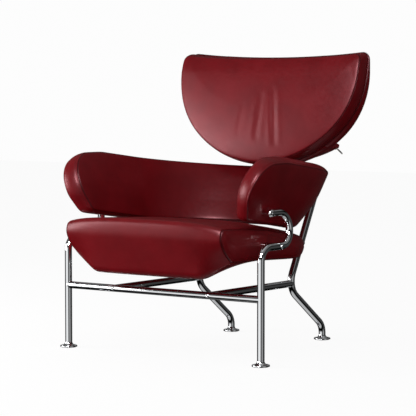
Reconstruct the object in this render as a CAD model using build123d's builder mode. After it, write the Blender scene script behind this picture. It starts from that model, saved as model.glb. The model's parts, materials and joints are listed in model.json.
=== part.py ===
from build123d import *
import math
import os

os.makedirs("parts", exist_ok=True)

# Lounge chair in three upholstered pieces on a bent tube frame. Millimetres, +Z up.
# The origin is on the floor under the middle of the chair. +X is the sitter's left, -Y the front.
# A length named "back" is measured backwards from the front legs' axis.

# Frame tubes
front_leg_y = -322.0
tube_d = 25.0
tube_wall = 2.0
tube_r = tube_d / 2
bore_r = tube_r - tube_wall

# Front legs, each with the curl that carries seat and arm
leg_spread = 818.0
seat_run_height = 388.0
knee_radius = 46.0
curl_back = 119.0
curl_tilt = 12.0
arm_run_height = 498.0
arm_run_back = 80.0
leg_x = leg_spread / 2
arm_x = leg_x - curl_tilt
curl_radius = math.hypot(arm_run_height - seat_run_height, curl_tilt) / 2

# Crossbar and side rails
crossbar_height = 220.0
rail_spread = 402.0
rail_x = rail_spread / 2

# Rear legs: foot, diagonal, leaning upright, shoulder and neck
rear_foot_back = 692.0
rear_knee_height = 52.0
rear_knee_radius = 55.0
elbow_back = 471.0
elbow_height = 208.0
elbow_radius = 65.0
upright_lean = 27.7
shoulder_height = 590.0
shoulder_radius = 42.0
neck_spread = 190.0
neck_foot_back = 714.0
neck_foot_height = 603.0
neck_top_back = 702.0
neck_top_height = 712.0
neck_x = neck_spread / 2
shoulder_back = elbow_back + (shoulder_height - elbow_height) * math.tan(math.radians(upright_lean))

# Feet
foot_d = 60.0
foot_thick = 5.5
foot_rim = 3.0
foot_height = 22.0
foot_spigot = 24.0
spigot_gap = 0.3
glide_d = 50.0
glide_thick = 2.0
flare_share = 0.24

# Leather and the seat
leather = 2.0
seat_width = 654.0
seat_swell = 15.0
seat_crown_radius = 5200.0
seat_nose_back = -114.0
seat_nose_height = 458.0
seat_brow_height = 424.0
seat_brow_radius = 50.0
seat_nose_radius = 25.0
keel_front_back = -75.0
keel_rear_back = -40.0
keel_low = 276.0
keel_height = 286.0
keel_width = 480.0
keel_edge_radius = 26.0
seat_edge_height = 339.0
underside_front_back = 125.0
underside_front_height = 336.0
seat_mid_back = 153.0
seat_mid_height = 443.0
seat_mid_radius = 900.0
seat_rear_back = 503.0
seat_rear_height = 392.0
seat_tail_back = 481.0
seat_tail_height = 322.0
seat_tail_radius = 20.0
seat_rear_radius = 26.0
seat_plan_front = -120.0
seat_corner_radius = 38.0
seat_rear_corner = 200.0
seat_fall = 27.0
seat_fall_run = 450.0
seat_half = seat_width / 2

# Arm and back wrap: a leaning band, round behind and open in front
wrap_low = 425.0
wrap_mid = 556.0
wrap_high = 690.0
wrap_radius = 386.0
wrap_radius_height = 590.0
wrap_flare = 0.4125
wrap_centre_back = 300.0
wrap_centre_flare = 0.406
wrap_splay = 1.5
wrap_thick = 54.0
wrap_swell = 8.0
wrap_rim = 19.0
wrap_front_back = -34.0
wrap_foot_height = 492.0
wrap_foot_radius = 50.0
wrap_crest_height = 679.0
wrap_crest_radius = 124.0
wrap_crest_back = 150.0
wrap_fall_back = 480.0
wrap_fall_height = 638.0
wrap_rear_height = 603.0
wrap_belly_back = 310.0
wrap_belly_height = 445.0
wrap_tail_height = 426.0
wrap_long_radius = 400.0
wrap_reach = 780.0

# Headrest: a half moon, leaning
head_half = 385.0
head_depth = 333.0
head_centre_height = 967.0
head_face_back = 628.0
head_lean = 10.2
head_top = 66.0
head_corner = 32.0
head_sag = 50.0
head_side_radius = 300.0
head_thick = 60.0
head_crown_radius = 3600.0
head_face_rim = 11.0
head_rear_rim = 6.0
head_rear_back = 704.0
head_body_rim = 16.0
head_body_inset = 6.0
head_body_height = 964.0

# Crescent lip under the headrest's back, with the zip along its lower rear edge
lip_radius = 533.5
lip_centre_height = 1169.0
lip_angle = 27.0
lip_front_back = 640.0
lip_rear_back = 748.0
lip_chamfer = 11.0
lip_root_height = 722.0
lip_brow_height = 703.0

# Zip
zip_angle = 26.2
slider_angle = 25.3
tape_width = 11.0
tape_thick = 0.8
chain_width = 5.0
chain_thick = 1.6
tooth_count = 64
tooth_share = 0.55
stop_turn = 0.4
slider_turn = 1.3
slider_width = 9.0
slider_wall = 1.2
slider_gap = 0.4
lug_thick = 1.2
lug_length = 4.0
lug_height = 4.4
pin_height = 2.6
barrel_width = 4.2
barrel_d = 3.4
pin_d = 1.6
pin_gap = 0.1
pull_length = 25.0
pull_width = 8.0
pull_thick = 1.5
pull_eye_d = 4.0
neck_length = 3.6

# Fittings
cap_d = 28.0
cap_lip = 4.0
spigot_length = 18.0
stud_d = 12.0
bolt_d = 8.0
bolt_head_d = 15.0
bolt_head_height = 5.0
bolt_seat = 4.0
socket_across = 5.0
socket_depth = 3.0
screw_d = 6.0
screw_head_d = 12.0
screw_head_height = 4.0
screw_seat = 2.0
seat_pin_d = 18.0
seat_pin_back = 106.0
bolt_grip = 30.0
spacer_d = 20.0
plug_length = 30.0

# Hidden frames
seat_ring_inset = 30.0
seat_ring_width = 55.0
seat_ring_thick = 36.0
seat_ring_front = 66.0
seat_ring_rear = 466.0
seat_ring_corner = 60.0
seat_ring_rear_corner = 160.0
seat_ring_slope = 4.9
belt_width = 50.0
belt_thick = 3.0
belt_pitch = 84.0
belt_count = 5
hoop_thick = 4.0
hoop_low = 492.0
hoop_front = 28.0
hoop_high = 560.0
hoop_depth = 24.0
seat_bolt_height = 358.0
back_bolt_height = 548.0
plate_thick = 5.0
plate_inset = 34.0
sleeve_wall = 3.0
sleeve_low = 629.0
sleeve_high = 704.0
fin_thick = 6.0
fin_low = 652.0
fin_high = 700.0
overrun = 10.0

# Least angle between two faces, in degrees, that counts as an edge to round
rim_angle = 40.0


def yz(back, height):
    """a point of a side view, from its distance behind the front legs and its height"""
    return (front_leg_y + back, height)


def save(piece, name):
    """label a finished piece and write it"""
    piece.part.label = name
    export_step(piece.part, f"parts/{name}.step")


def sharp_edges(shape, least_angle):
    """the edges where two faces meet at more than an angle in degrees"""
    found = ShapeList()
    faces = shape.faces()
    owners = [(face, face.edges()) for face in faces]
    for edge in shape.edges():
        sides = [face for face, rim in owners if edge in rim]
        if len(sides) == 2:
            spot = edge @ 0.5
            if sides[0].normal_at(spot).get_angle(sides[1].normal_at(spot)) > least_angle:
                found.append(edge)
    return found


def round_bar(start, end, diameter):
    """a straight round bar between two points, as a cutter or a blank"""
    way = Vector(*end) - Vector(*start)
    with BuildPart(mode=Mode.PRIVATE) as bar:
        with BuildSketch(Plane(origin=start, z_dir=way)):
            Circle(diameter / 2)
        extrude(amount=way.length)
    return bar.part


def seat_form(inset):
    """the seat cushion drawn in by an inset on every side"""
    with BuildPart(mode=Mode.PRIVATE) as form:
        with BuildSketch(Plane.YZ):
            with BuildLine():
                FilletPolyline(
                    yz(seat_nose_back, seat_nose_height),
                    yz(seat_nose_back, seat_brow_height),
                    yz(keel_front_back, keel_low),
                    yz(keel_rear_back, keel_low),
                    yz(underside_front_back, underside_front_height),
                    yz(seat_tail_back, seat_tail_height),
                    yz(seat_rear_back, seat_rear_height),
                    yz(seat_mid_back, seat_mid_height),
                    radius=[
                        seat_nose_radius,
                        seat_brow_radius,
                        0,
                        0,
                        seat_brow_radius,
                        seat_tail_radius,
                        seat_rear_radius,
                        seat_mid_radius,
                    ],
                    close=True,
                )
            make_face()
            offset(amount=-inset)
        crown_axis = Axis((0, 0, seat_nose_height - seat_crown_radius), (0, 1, 0))
        half_turn = math.degrees((seat_half + seat_swell + overrun) / (seat_crown_radius - overrun))
        revolve(axis=crown_axis, revolution_arc=half_turn)
        mirror(about=Plane.YZ)
        # The plan, with side walls that swell between their seams
        with BuildPart(mode=Mode.PRIVATE) as walls:
            middle = (seat_nose_height + seat_edge_height) / 2
            reach = (seat_nose_height - seat_edge_height) / 2
            for height in (keel_low - overrun, middle, seat_nose_height + overrun):
                swell = seat_swell * (1 - ((height - middle) / reach) ** 2)
                half = seat_half + swell - inset
                with BuildSketch(Plane.XY.offset(height)):
                    with BuildLine():
                        FilletPolyline(
                            (half, front_leg_y + seat_plan_front + inset),
                            (half, front_leg_y + seat_rear_back - inset),
                            (-half, front_leg_y + seat_rear_back - inset),
                            (-half, front_leg_y + seat_plan_front + inset),
                            radius=[
                                seat_corner_radius - inset,
                                seat_rear_corner - inset,
                                seat_rear_corner - inset,
                                seat_corner_radius - inset,
                            ],
                            close=True,
                        )
                    make_face()
            loft()
        add(walls.part, mode=Mode.INTERSECT)
        # The keel, narrower than the seat
        with BuildPart(mode=Mode.PRIVATE) as keel:
            slope = (seat_edge_height - keel_height) / (seat_half - keel_width / 2)
            wide = seat_half + seat_swell + overrun
            shoulder = seat_edge_height + slope * (wide - seat_half)
            start = Plane.XZ.offset(-(front_leg_y + seat_nose_back - overrun))
            with BuildSketch(start):
                with BuildLine():
                    FilletPolyline(
                        (-wide, seat_nose_height + overrun + seat_fall),
                        (-wide, shoulder),
                        (-keel_width / 2, keel_height),
                        (keel_width / 2, keel_height),
                        (wide, shoulder),
                        (wide, seat_nose_height + overrun + seat_fall),
                        radius=[0, 0, keel_edge_radius, keel_edge_radius, 0, 0],
                        close=True,
                    )
                make_face()
                offset(amount=-inset)
            run = seat_rear_back - seat_nose_back + 2 * overrun
            extrude(amount=run, dir=(0, seat_fall_run, -seat_fall))
        add(keel.part, mode=Mode.INTERSECT)
    return form.part


def wrap_radius_at(height):
    """radius of the band's outer seam line at a height"""
    return wrap_radius + wrap_flare * (height - wrap_radius_height)


def wrap_centre_at(height):
    """how far behind the front legs the band's centre lies at a height"""
    return wrap_centre_back + wrap_centre_flare * (height - wrap_radius_height)


def band_part(outer_in, inner_in, swell):
    """the leaning band before its side outline is cut"""
    with BuildPart(mode=Mode.PRIVATE) as band:
        for height, share in ((wrap_low, 0), (wrap_mid, 1), (wrap_high, 0)):
            outer = wrap_radius_at(height) + swell * share - outer_in
            inner = wrap_radius_at(height) - wrap_thick - swell * share + inner_in
            centre = front_leg_y + wrap_centre_at(height)
            front = front_leg_y + wrap_front_back - overrun
            splay = math.radians(wrap_splay)
            edge = []
            for radius in (outer, inner):
                side_x = radius * math.cos(splay)
                side_y = centre + radius * math.sin(splay)
                front_x = side_x + (side_y - front) * math.tan(splay)
                edge.append(((front_x, front), (side_x, side_y), (0, centre + radius)))
            with BuildSketch(Plane.XY.offset(height)):
                with BuildLine():
                    for tip, root, rear in edge:
                        Line(tip, root)
                        ThreePointArc(root, rear, (-root[0], root[1]))
                        Line((-root[0], root[1]), (-tip[0], tip[1]))
                    Line(edge[0][0], edge[1][0])
                    Line((-edge[0][0][0], edge[0][0][1]), (-edge[1][0][0], edge[1][0][1]))
                make_face()
        loft()
    return band.part


def wrap_form(inset):
    """the arm and back pad drawn in by an inset on every side"""
    with BuildPart(mode=Mode.PRIVATE) as form:
        add(band_part(inset, inset, wrap_swell))
        with BuildPart(mode=Mode.PRIVATE) as outline:
            with BuildSketch(Plane.YZ):
                with BuildLine():
                    FilletPolyline(
                        yz(wrap_front_back, wrap_foot_height),
                        yz(wrap_front_back, wrap_crest_height),
                        yz(wrap_crest_back, wrap_crest_height),
                        yz(wrap_fall_back, wrap_fall_height),
                        yz(wrap_reach, wrap_rear_height),
                        yz(wrap_reach, wrap_tail_height),
                        yz(wrap_belly_back, wrap_belly_height),
                        radius=[
                            wrap_foot_radius,
                            wrap_crest_radius,
                            wrap_long_radius,
                            wrap_long_radius,
                            0,
                            0,
                            wrap_long_radius,
                        ],
                        close=True,
                    )
                make_face()
                offset(amount=-inset)
            extrude(amount=wrap_radius_at(wrap_high) + wrap_reach, both=True)
        add(outline.part, mode=Mode.INTERSECT)
        fillet(sharp_edges(form.part, rim_angle), radius=wrap_rim - inset)
    return form.part


head_tilt = math.radians(head_lean)
head_plane = Plane(
    origin=(0, front_leg_y + head_face_back, head_centre_height),
    x_dir=(1, 0, 0),
    z_dir=(0, -math.cos(head_tilt), math.sin(head_tilt)),
)
zip_axis = Axis((0, 0, lip_centre_height), (0, 1, 0))


def half_moon(inset):
    """the headrest's outline in tangent arcs, its middle at the widest line"""
    reach = head_half - head_side_radius
    spread = reach**2 + head_depth**2 - head_side_radius**2
    low_radius = spread / (2 * (head_depth - head_side_radius))
    gap = low_radius - head_side_radius
    meet_x = reach + head_side_radius * reach / gap
    meet_y = -head_side_radius * (low_radius - head_depth) / gap
    with BuildSketch(mode=Mode.PRIVATE) as moon:
        with BuildLine():
            down = Line((-head_half, head_top), (-head_half, 0))
            right_arc = TangentArc(down @ 1, (-meet_x, meet_y), tangent=down % 1)
            low_arc = TangentArc(right_arc @ 1, (meet_x, meet_y), tangent=right_arc % 1)
            left_arc = TangentArc(low_arc @ 1, (head_half, 0), tangent=low_arc % 1)
            up = Line(left_arc @ 1, (head_half, head_top))
            ThreePointArc(up @ 1, (0, head_sag), (-head_half, head_top))
        make_face()
        fillet(moon.vertices().group_by(Axis.Y)[-1], radius=head_corner)
        offset(amount=-inset)
    return moon.sketch


def head_cushion_form(inset):
    """the headrest's front cushion, crowned in front"""
    with BuildPart(mode=Mode.PRIVATE) as form:
        with BuildSketch(head_plane.offset(overrun * 2)):
            add(half_moon(inset))
        extrude(amount=-(head_thick + overrun * 2 - inset))
        middle = (head_top - head_depth) / 2
        centre = head_plane.from_local_coords((0, middle, -head_crown_radius))
        with Locations(centre):
            Sphere(head_crown_radius + head_face_rim - inset, mode=Mode.INTERSECT)
        rims = sharp_edges(form.part, rim_angle)
        fillet(rims, radius=head_rear_rim - inset)
    return form.part


def turned(angle):
    """a plane through the zip's centre line, turned towards +X by an angle in degrees"""
    lean = math.radians(angle)
    middle = (0, 0, lip_centre_height)
    return Plane(origin=middle, x_dir=(0, 1, 0), z_dir=(math.cos(lean), 0, math.sin(lean)))


def lip_point(back, below):
    """a point of the lip's profile: its distance behind the front legs and below the zip's centre"""
    return (front_leg_y + back, -below)


def zip_point(along, out):
    """a point of the zip's profile, along the lip's chamfer and out from it"""
    half = math.sqrt(0.5)
    back = lip_rear_back - lip_chamfer / 2 + (along + out) * half
    below = lip_radius - lip_chamfer / 2 + (out - along) * half
    return lip_point(back, below)


def zip_run(corners, start, turn):
    """a closed profile swept round the zip's centre from a start angle towards -X"""
    with BuildPart(mode=Mode.PRIVATE) as run:
        with BuildSketch(turned(start)):
            with BuildLine():
                Polyline(*corners, close=True)
            make_face()
        revolve(axis=zip_axis, revolution_arc=turn)
    return run.part


def zip_strip(half_width, low, high):
    """the four corners of a strip on the lip's chamfer"""
    return [
        zip_point(-half_width, low),
        zip_point(half_width, low),
        zip_point(half_width, high),
        zip_point(-half_width, high),
    ]


def head_body_form(inset):
    """the headrest's rear body: a wedge with the crescent lip below"""
    with BuildPart(mode=Mode.PRIVATE) as form:
        rear = front_leg_y + head_rear_back - inset
        with BuildSketch(Plane.XZ.offset(-rear)):
            with Locations((0, head_body_height)):
                add(half_moon(head_body_inset + inset))
        extrude(amount=head_rear_back - head_face_back + head_thick)
        fillet(form.faces().sort_by(Axis.Y)[-1].edges(), radius=head_body_rim - inset)
        with BuildPart(mode=Mode.PRIVATE) as lip:
            spare = math.degrees(inset / lip_radius)
            with BuildSketch(turned(lip_angle - spare)):
                with BuildLine():
                    rise = lip_centre_height - lip_root_height - overrun
                    Polyline(
                        lip_point(lip_front_back, lip_radius),
                        lip_point(lip_rear_back - lip_chamfer, lip_radius),
                        lip_point(lip_rear_back, lip_radius - lip_chamfer),
                        lip_point(lip_rear_back, rise),
                        lip_point(lip_front_back, rise),
                        close=True,
                    )
                make_face()
                offset(amount=-inset)
            revolve(axis=zip_axis, revolution_arc=2 * (lip_angle - spare))
            brow = math.atan2(lip_root_height - lip_brow_height, lip_rear_back - head_rear_back)
            slope = Plane(
                origin=(0, front_leg_y + lip_rear_back, lip_brow_height),
                z_dir=(0, math.sin(brow), math.cos(brow)),
            )
            split(bisect_by=slope.offset(-inset), keep=Keep.BOTTOM)
        add(lip.part)
        split(bisect_by=head_plane.offset(-(head_thick + inset)), keep=Keep.BOTTOM)
    return form.part


def front_leg_blank(side, radius):
    """a round bar along a front leg's whole run, its curl tilted towards the arm"""
    x = side * leg_x
    with BuildPart(mode=Mode.PRIVATE) as blank:
        middle_x = side * (leg_x + arm_x) / 2
        middle = (seat_run_height + arm_run_height) / 2
        with BuildLine():
            FilletPolyline(
                (x, *yz(0, foot_height)),
                (x, *yz(0, seat_run_height)),
                (x, *yz(curl_back, seat_run_height)),
                radius=knee_radius,
            )
            ThreePointArc(
                (x, *yz(curl_back, seat_run_height)),
                (middle_x, *yz(curl_back + curl_radius, middle)),
                (side * arm_x, *yz(curl_back, arm_run_height)),
            )
            Line(
                (side * arm_x, *yz(curl_back, arm_run_height)),
                (side * arm_x, *yz(arm_run_back, arm_run_height)),
            )
        with BuildSketch(Plane.XY.offset(foot_height)):
            with Locations((x, front_leg_y)):
                Circle(radius)
        sweep()
    return blank.part


def neck_point(side, height):
    """a point of a neck's axis at a height"""
    share = (height - neck_foot_height) / (neck_top_height - neck_foot_height)
    back = neck_foot_back + share * (neck_top_back - neck_foot_back)
    return (side * neck_x, front_leg_y + back, height)


def rear_leg_blank(side, radius):
    """a round bar along a rear leg's whole run, from foot to neck"""
    x = side * rail_x
    with BuildPart(mode=Mode.PRIVATE) as blank:
        with BuildLine():
            FilletPolyline(
                (x, front_leg_y + rear_foot_back, foot_height),
                (x, front_leg_y + rear_foot_back, rear_knee_height),
                (x, front_leg_y + elbow_back, elbow_height),
                (x, front_leg_y + shoulder_back, shoulder_height),
                neck_point(side, neck_foot_height),
                neck_point(side, neck_top_height),
                radius=[rear_knee_radius, elbow_radius, shoulder_radius, shoulder_radius],
            )
        with BuildSketch(Plane.XY.offset(foot_height)):
            with Locations((x, front_leg_y + rear_foot_back)):
                Circle(radius)
        sweep()
    return blank.part


def upright_point(side, height, out):
    """a point beside an upright's axis at a height, moved backwards"""
    rise = height - elbow_height
    back = elbow_back + rise * math.tan(math.radians(upright_lean)) + out
    return (side * rail_x, front_leg_y + back, height)


def bolt(head_spot, tip_spot, shank_d, head_d, head_height):
    """a dome-headed socket bolt, its head's flat side at the first point"""
    way = Vector(*tip_spot) - Vector(*head_spot)
    with BuildPart(mode=Mode.PRIVATE) as piece:
        with BuildSketch(Plane(origin=head_spot, z_dir=way)):
            Circle(shank_d / 2)
        extrude(amount=way.length)
        with BuildSketch(Plane(origin=head_spot, z_dir=-way)):
            Circle(head_d / 2)
        extrude(amount=head_height)
        crown = piece.edges().filter_by(GeomType.CIRCLE).sort_by(Axis(head_spot, -way))[-1]
        fillet(crown, radius=head_height / 2)
        with BuildSketch(Plane(origin=head_spot, z_dir=-way).offset(head_height)):
            RegularPolygon(socket_across / 2, 6)
        extrude(amount=-socket_depth, mode=Mode.SUBTRACT)
    return piece.part


sides = ((1, "left"), (-1, "right"))
seat_leather = seat_form(0)
seat_core = seat_form(leather)
wrap_leather = wrap_form(0)
wrap_core = wrap_form(leather)
front_cores = {side: front_leg_blank(side, tube_r) for side, word in sides}
rear_cores = {side: rear_leg_blank(side, tube_r) for side, word in sides}

# The bolts and studs that hold the pads, made first because everything they pass is drilled by them
ball_back = arm_run_back - math.sqrt((cap_d / 2) ** 2 - tube_r**2)
hoop_x = wrap_radius_at(arm_run_height) - hoop_depth
seat_bolt_x = leg_x + tube_r
arm_spots = {}
pin_spots = {}
rear_spots = {}
back_spots = {}
for side, word in sides:
    arm_spots[side] = (
        (side * arm_x, front_leg_y + ball_back, arm_run_height),
        (side * (hoop_x - bolt_grip / 2), front_leg_y + ball_back, arm_run_height),
    )
    pin_spots[side] = (
        (side * seat_bolt_x, front_leg_y + seat_pin_back, seat_run_height),
        (side * (seat_half - seat_ring_inset - bolt_grip), front_leg_y + seat_pin_back, seat_run_height),
    )
    rear_spots[side] = (
        upright_point(side, seat_bolt_height, tube_r / math.cos(math.radians(upright_lean))),
        (side * rail_x, front_leg_y + seat_ring_rear - bolt_grip, seat_bolt_height),
    )
    hoop_radius = wrap_radius_at(back_bolt_height) - hoop_depth - hoop_thick
    hoop_back = wrap_centre_at(back_bolt_height) + math.sqrt(hoop_radius**2 - rail_x**2)
    back_spots[side] = (
        upright_point(side, back_bolt_height, tube_r / math.cos(math.radians(upright_lean))),
        (side * rail_x, front_leg_y + hoop_back - overrun, back_bolt_height),
    )
spots = [*arm_spots.values(), *pin_spots.values(), *rear_spots.values(), *back_spots.values()]
shanks = [round_bar(start, end, bolt_d) for start, end in spots]

# Feet and their glides
foot_spots = {}
spigots = {}
for side, word in sides:
    foot_spots[f"front_foot_{word}"] = (side * leg_x, front_leg_y)
    foot_spots[f"rear_foot_{word}"] = (side * rail_x, front_leg_y + rear_foot_back)
    spigots[f"front_foot_{word}"] = front_leg_blank(side, bore_r - spigot_gap)
    spigots[f"rear_foot_{word}"] = rear_leg_blank(side, bore_r - spigot_gap)
for name, (x, y) in foot_spots.items():
    with BuildPart(mode=Mode.PRIVATE) as spigot:
        add(spigots[name])
        split(bisect_by=Plane.XY.offset(foot_height + foot_spigot), keep=Keep.BOTTOM)
    with BuildPart() as foot:
        with BuildSketch(Plane(origin=(x, y, 0), x_dir=(1, 0, 0), z_dir=(0, -1, 0))):
            with BuildLine():
                rim_top = glide_thick + foot_thick
                rim = foot_d / 2 - foot_rim
                low = (rim, rim_top)
                high = (tube_r, foot_height)
                inner = (
                    tube_r + (rim - tube_r) * flare_share,
                    rim_top + (foot_height - rim_top) * flare_share,
                )
                Polyline((0, glide_thick), (foot_d / 2, glide_thick), (foot_d / 2, rim_top - foot_rim))
                RadiusArc((foot_d / 2, rim_top - foot_rim), low, -foot_rim)
                ThreePointArc(low, inner, high)
                Polyline(high, (0, foot_height), (0, glide_thick))
            make_face()
        revolve(axis=Axis((x, y, 0), (0, 0, 1)))
        add(spigot.part)
    save(foot, name)

with BuildPart() as foot_glides:
    with BuildSketch():
        with Locations(*foot_spots.values()):
            Circle(glide_d / 2)
    extrude(amount=glide_thick)
save(foot_glides, "foot_glides")

# Front legs with their curls, and the balls that close them
for side, word in sides:
    with BuildPart() as front_leg:
        add(front_cores[side])
        add(front_leg_blank(side, bore_r), mode=Mode.SUBTRACT)
        add(round_bar(*pin_spots[side], bolt_d), mode=Mode.SUBTRACT)
    save(front_leg, f"front_leg_{word}")

    with BuildPart() as arm_ball:
        with Locations(arm_spots[side][0]):
            Sphere(cap_d / 2)
        end = Plane(origin=(side * arm_x, *yz(arm_run_back, arm_run_height)), z_dir=(0, 1, 0))
        split(bisect_by=end, keep=Keep.BOTTOM)
        with BuildSketch(end):
            Circle(bore_r)
        extrude(amount=spigot_length)
        add(round_bar(*arm_spots[side], bolt_d), mode=Mode.SUBTRACT)
    save(arm_ball, f"arm_ball_{word}")

# Crossbar, side rails, and the screws that join them
screw_spots = {}
for side, word in sides:
    screw_spots[side] = (
        (side * rail_x, front_leg_y - tube_r, crossbar_height),
        (side * rail_x, front_leg_y + tube_r + plug_length, crossbar_height),
    )
with BuildPart() as crossbar:
    with BuildSketch(Plane.YZ.offset(-leg_x)):
        with Locations(yz(0, crossbar_height)):
            Circle(tube_r)
            Circle(bore_r, mode=Mode.SUBTRACT)
    extrude(amount=leg_spread)
    for core in front_cores.values():
        add(core, mode=Mode.SUBTRACT)
    for start, end in screw_spots.values():
        add(round_bar(start, end, screw_d), mode=Mode.SUBTRACT)
save(crossbar, "front_crossbar")

crossbar_blank = round_bar(
    (-leg_x, front_leg_y, crossbar_height),
    (leg_x, front_leg_y, crossbar_height),
    tube_d,
)
for side, word in sides:
    middle = upright_point(side, crossbar_height, tube_r)
    with BuildPart() as side_rail:
        start = Plane(origin=screw_spots[side][0], z_dir=(0, 1, 0)).offset(tube_r)
        with BuildSketch(start):
            Circle(tube_r)
            Circle(bore_r, mode=Mode.SUBTRACT)
        extrude(amount=middle[1] - front_leg_y)
        add(crossbar_blank, mode=Mode.SUBTRACT)
        add(rear_cores[side], mode=Mode.SUBTRACT)
    save(side_rail, f"side_rail_{word}")

with BuildPart() as rail_plugs:
    for start, end in screw_spots.values():
        plug_start = Plane(origin=start, z_dir=(0, 1, 0)).offset(tube_r)
        with BuildSketch(plug_start):
            Circle(bore_r)
            Circle(screw_d / 2, mode=Mode.SUBTRACT)
        extrude(amount=tube_r + plug_length)
    add(crossbar_blank, mode=Mode.SUBTRACT)
save(rail_plugs, "rail_plugs")

with BuildPart() as rail_screws:
    for start, end in screw_spots.values():
        head = (start[0], start[1] + screw_seat, start[2])
        add(bolt(head, end, screw_d, screw_head_d, screw_head_height + screw_seat))
    for start, end in screw_spots.values():
        with BuildSketch(Plane(origin=start, z_dir=(0, 1, 0)).offset(screw_seat)):
            Circle(screw_head_d)
            Circle(screw_d / 2, mode=Mode.SUBTRACT)
    add(crossbar_blank - round_bar(*screw_spots[1], screw_d) - round_bar(*screw_spots[-1], screw_d),
        mode=Mode.SUBTRACT)
save(rail_screws, "rail_screws")

# Rear legs, drilled for the bolts that hold the seat's and the back's rear
for side, word in sides:
    with BuildPart() as rear_leg:
        add(rear_cores[side])
        add(rear_leg_blank(side, bore_r), mode=Mode.SUBTRACT)
        for start, end in (rear_spots[side], back_spots[side]):
            add(round_bar(start, end, bolt_d), mode=Mode.SUBTRACT)
    save(rear_leg, f"rear_leg_{word}")

# Studs that reach from the arm balls into the wrap's hoop, each with a sleeve between ball and leather
with BuildPart() as arm_studs:
    start, end = arm_spots[1]
    sleeve_start = (start[0] - math.sqrt((cap_d / 2) ** 2 - (bolt_d / 2) ** 2), start[1], start[2])
    add(round_bar(sleeve_start, end, stud_d))
    add(wrap_leather, mode=Mode.SUBTRACT)
    add(round_bar(start, end, bolt_d))
    mirror(about=Plane.YZ)
save(arm_studs, "arm_studs")

# Spacers between the tubes and the pads
with BuildPart() as seat_pins:
    for start, end in pin_spots.values():
        add(round_bar(start, end, seat_pin_d))
    for core in front_cores.values():
        add(core, mode=Mode.SUBTRACT)
    add(seat_leather, mode=Mode.SUBTRACT)
    for start, end in pin_spots.values():
        add(round_bar(start, end, bolt_d), mode=Mode.SUBTRACT)
    outside = seat_pins.solids().filter_by(lambda chip: abs(chip.center().X) > leg_x)
    for chip in outside:
        add(chip, mode=Mode.SUBTRACT)
save(seat_pins, "seat_pins")

with BuildPart() as rear_spacers:
    for start, end in (*rear_spots.values(), *back_spots.values()):
        inner = (start[0], start[1] - tube_r, start[2])
        add(round_bar(inner, end, spacer_d))
    for core in rear_cores.values():
        add(core, mode=Mode.SUBTRACT)
    add(seat_leather, mode=Mode.SUBTRACT)
    add(wrap_leather, mode=Mode.SUBTRACT)
    for shank in shanks:
        add(shank, mode=Mode.SUBTRACT)
save(rear_spacers, "rear_spacers")

# Bolts, the underside of each head shaped to its tube
bolt_rows = {"seat_bolts": (*pin_spots.values(), *rear_spots.values()), "back_bolts": back_spots.values()}
for name, rows in bolt_rows.items():
    with BuildPart() as bolts:
        for start, end in rows:
            way = (Vector(*end) - Vector(*start)).normalized()
            seat_spot = Vector(*start) + way * bolt_seat
            add(bolt(seat_spot, end, bolt_d, bolt_head_d, bolt_head_height + bolt_seat))
        for core in (*front_cores.values(), *rear_cores.values()):
            add(core, mode=Mode.SUBTRACT)
        for start, end in rows:
            add(round_bar(start, end, bolt_d))
    save(bolts, name)

# Seat: a wooden ring, belts across it, foam round both, and the leather cover
ring_plane = Plane(
    origin=(0, front_leg_y + seat_pin_back, seat_run_height),
    x_dir=(1, 0, 0),
    z_dir=(0, math.sin(math.radians(seat_ring_slope)), math.cos(math.radians(seat_ring_slope))),
)
ring_half = seat_half - seat_ring_inset
ring_front = -seat_pin_back - seat_ring_front
ring_rear = seat_ring_rear - seat_pin_back
with BuildPart() as seat_ring:
    with BuildSketch(ring_plane):
        with BuildLine():
            FilletPolyline(
                (ring_half, ring_front),
                (ring_half, ring_rear),
                (-ring_half, ring_rear),
                (-ring_half, ring_front),
                radius=[
                    seat_ring_corner,
                    seat_ring_rear_corner,
                    seat_ring_rear_corner,
                    seat_ring_corner,
                ],
                close=True,
            )
        make_face()
        offset(amount=-seat_ring_width, mode=Mode.SUBTRACT)
    extrude(amount=seat_ring_thick / 2, both=True)
    for shank in shanks:
        add(shank, mode=Mode.SUBTRACT)
save(seat_ring, "seat_ring")

with BuildPart() as seat_belts:
    with BuildSketch(ring_plane.offset(seat_ring_thick / 2)):
        with Locations((0, (ring_front + ring_rear) / 2)):
            with GridLocations(0, belt_pitch, 1, belt_count):
                Rectangle(2 * ring_half - seat_ring_width, belt_width)
    extrude(amount=belt_thick)
save(seat_belts, "seat_belts")

with BuildPart() as seat_foam:
    add(seat_core)
    add(seat_ring.part, mode=Mode.SUBTRACT)
    add(seat_belts.part, mode=Mode.SUBTRACT)
    for shank in shanks:
        add(shank, mode=Mode.SUBTRACT)
save(seat_foam, "seat_foam")

with BuildPart() as seat_cover:
    add(seat_leather)
    add(seat_core, mode=Mode.SUBTRACT)
    for shank in shanks:
        add(shank, mode=Mode.SUBTRACT)
save(seat_cover, "seat_cover")

# Arm and back wrap: a steel hoop in the middle of the foam, and the leather cover
with BuildPart() as back_hoop:
    add(band_part(hoop_depth, wrap_thick - hoop_depth - hoop_thick, 0))
    with BuildSketch(Plane.YZ):
        with BuildLine():
            Polyline(
                yz(hoop_front, hoop_low),
                yz(hoop_front, hoop_high),
                yz(wrap_reach, hoop_high),
                yz(wrap_reach, hoop_low),
                close=True,
            )
        make_face()
    extrude(amount=wrap_reach, both=True, mode=Mode.INTERSECT)
    for shank in shanks:
        add(shank, mode=Mode.SUBTRACT)
save(back_hoop, "back_hoop")

with BuildPart() as back_foam:
    add(wrap_core)
    add(back_hoop.part, mode=Mode.SUBTRACT)
    for shank in shanks:
        add(shank, mode=Mode.SUBTRACT)
save(back_foam, "back_foam")

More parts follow.
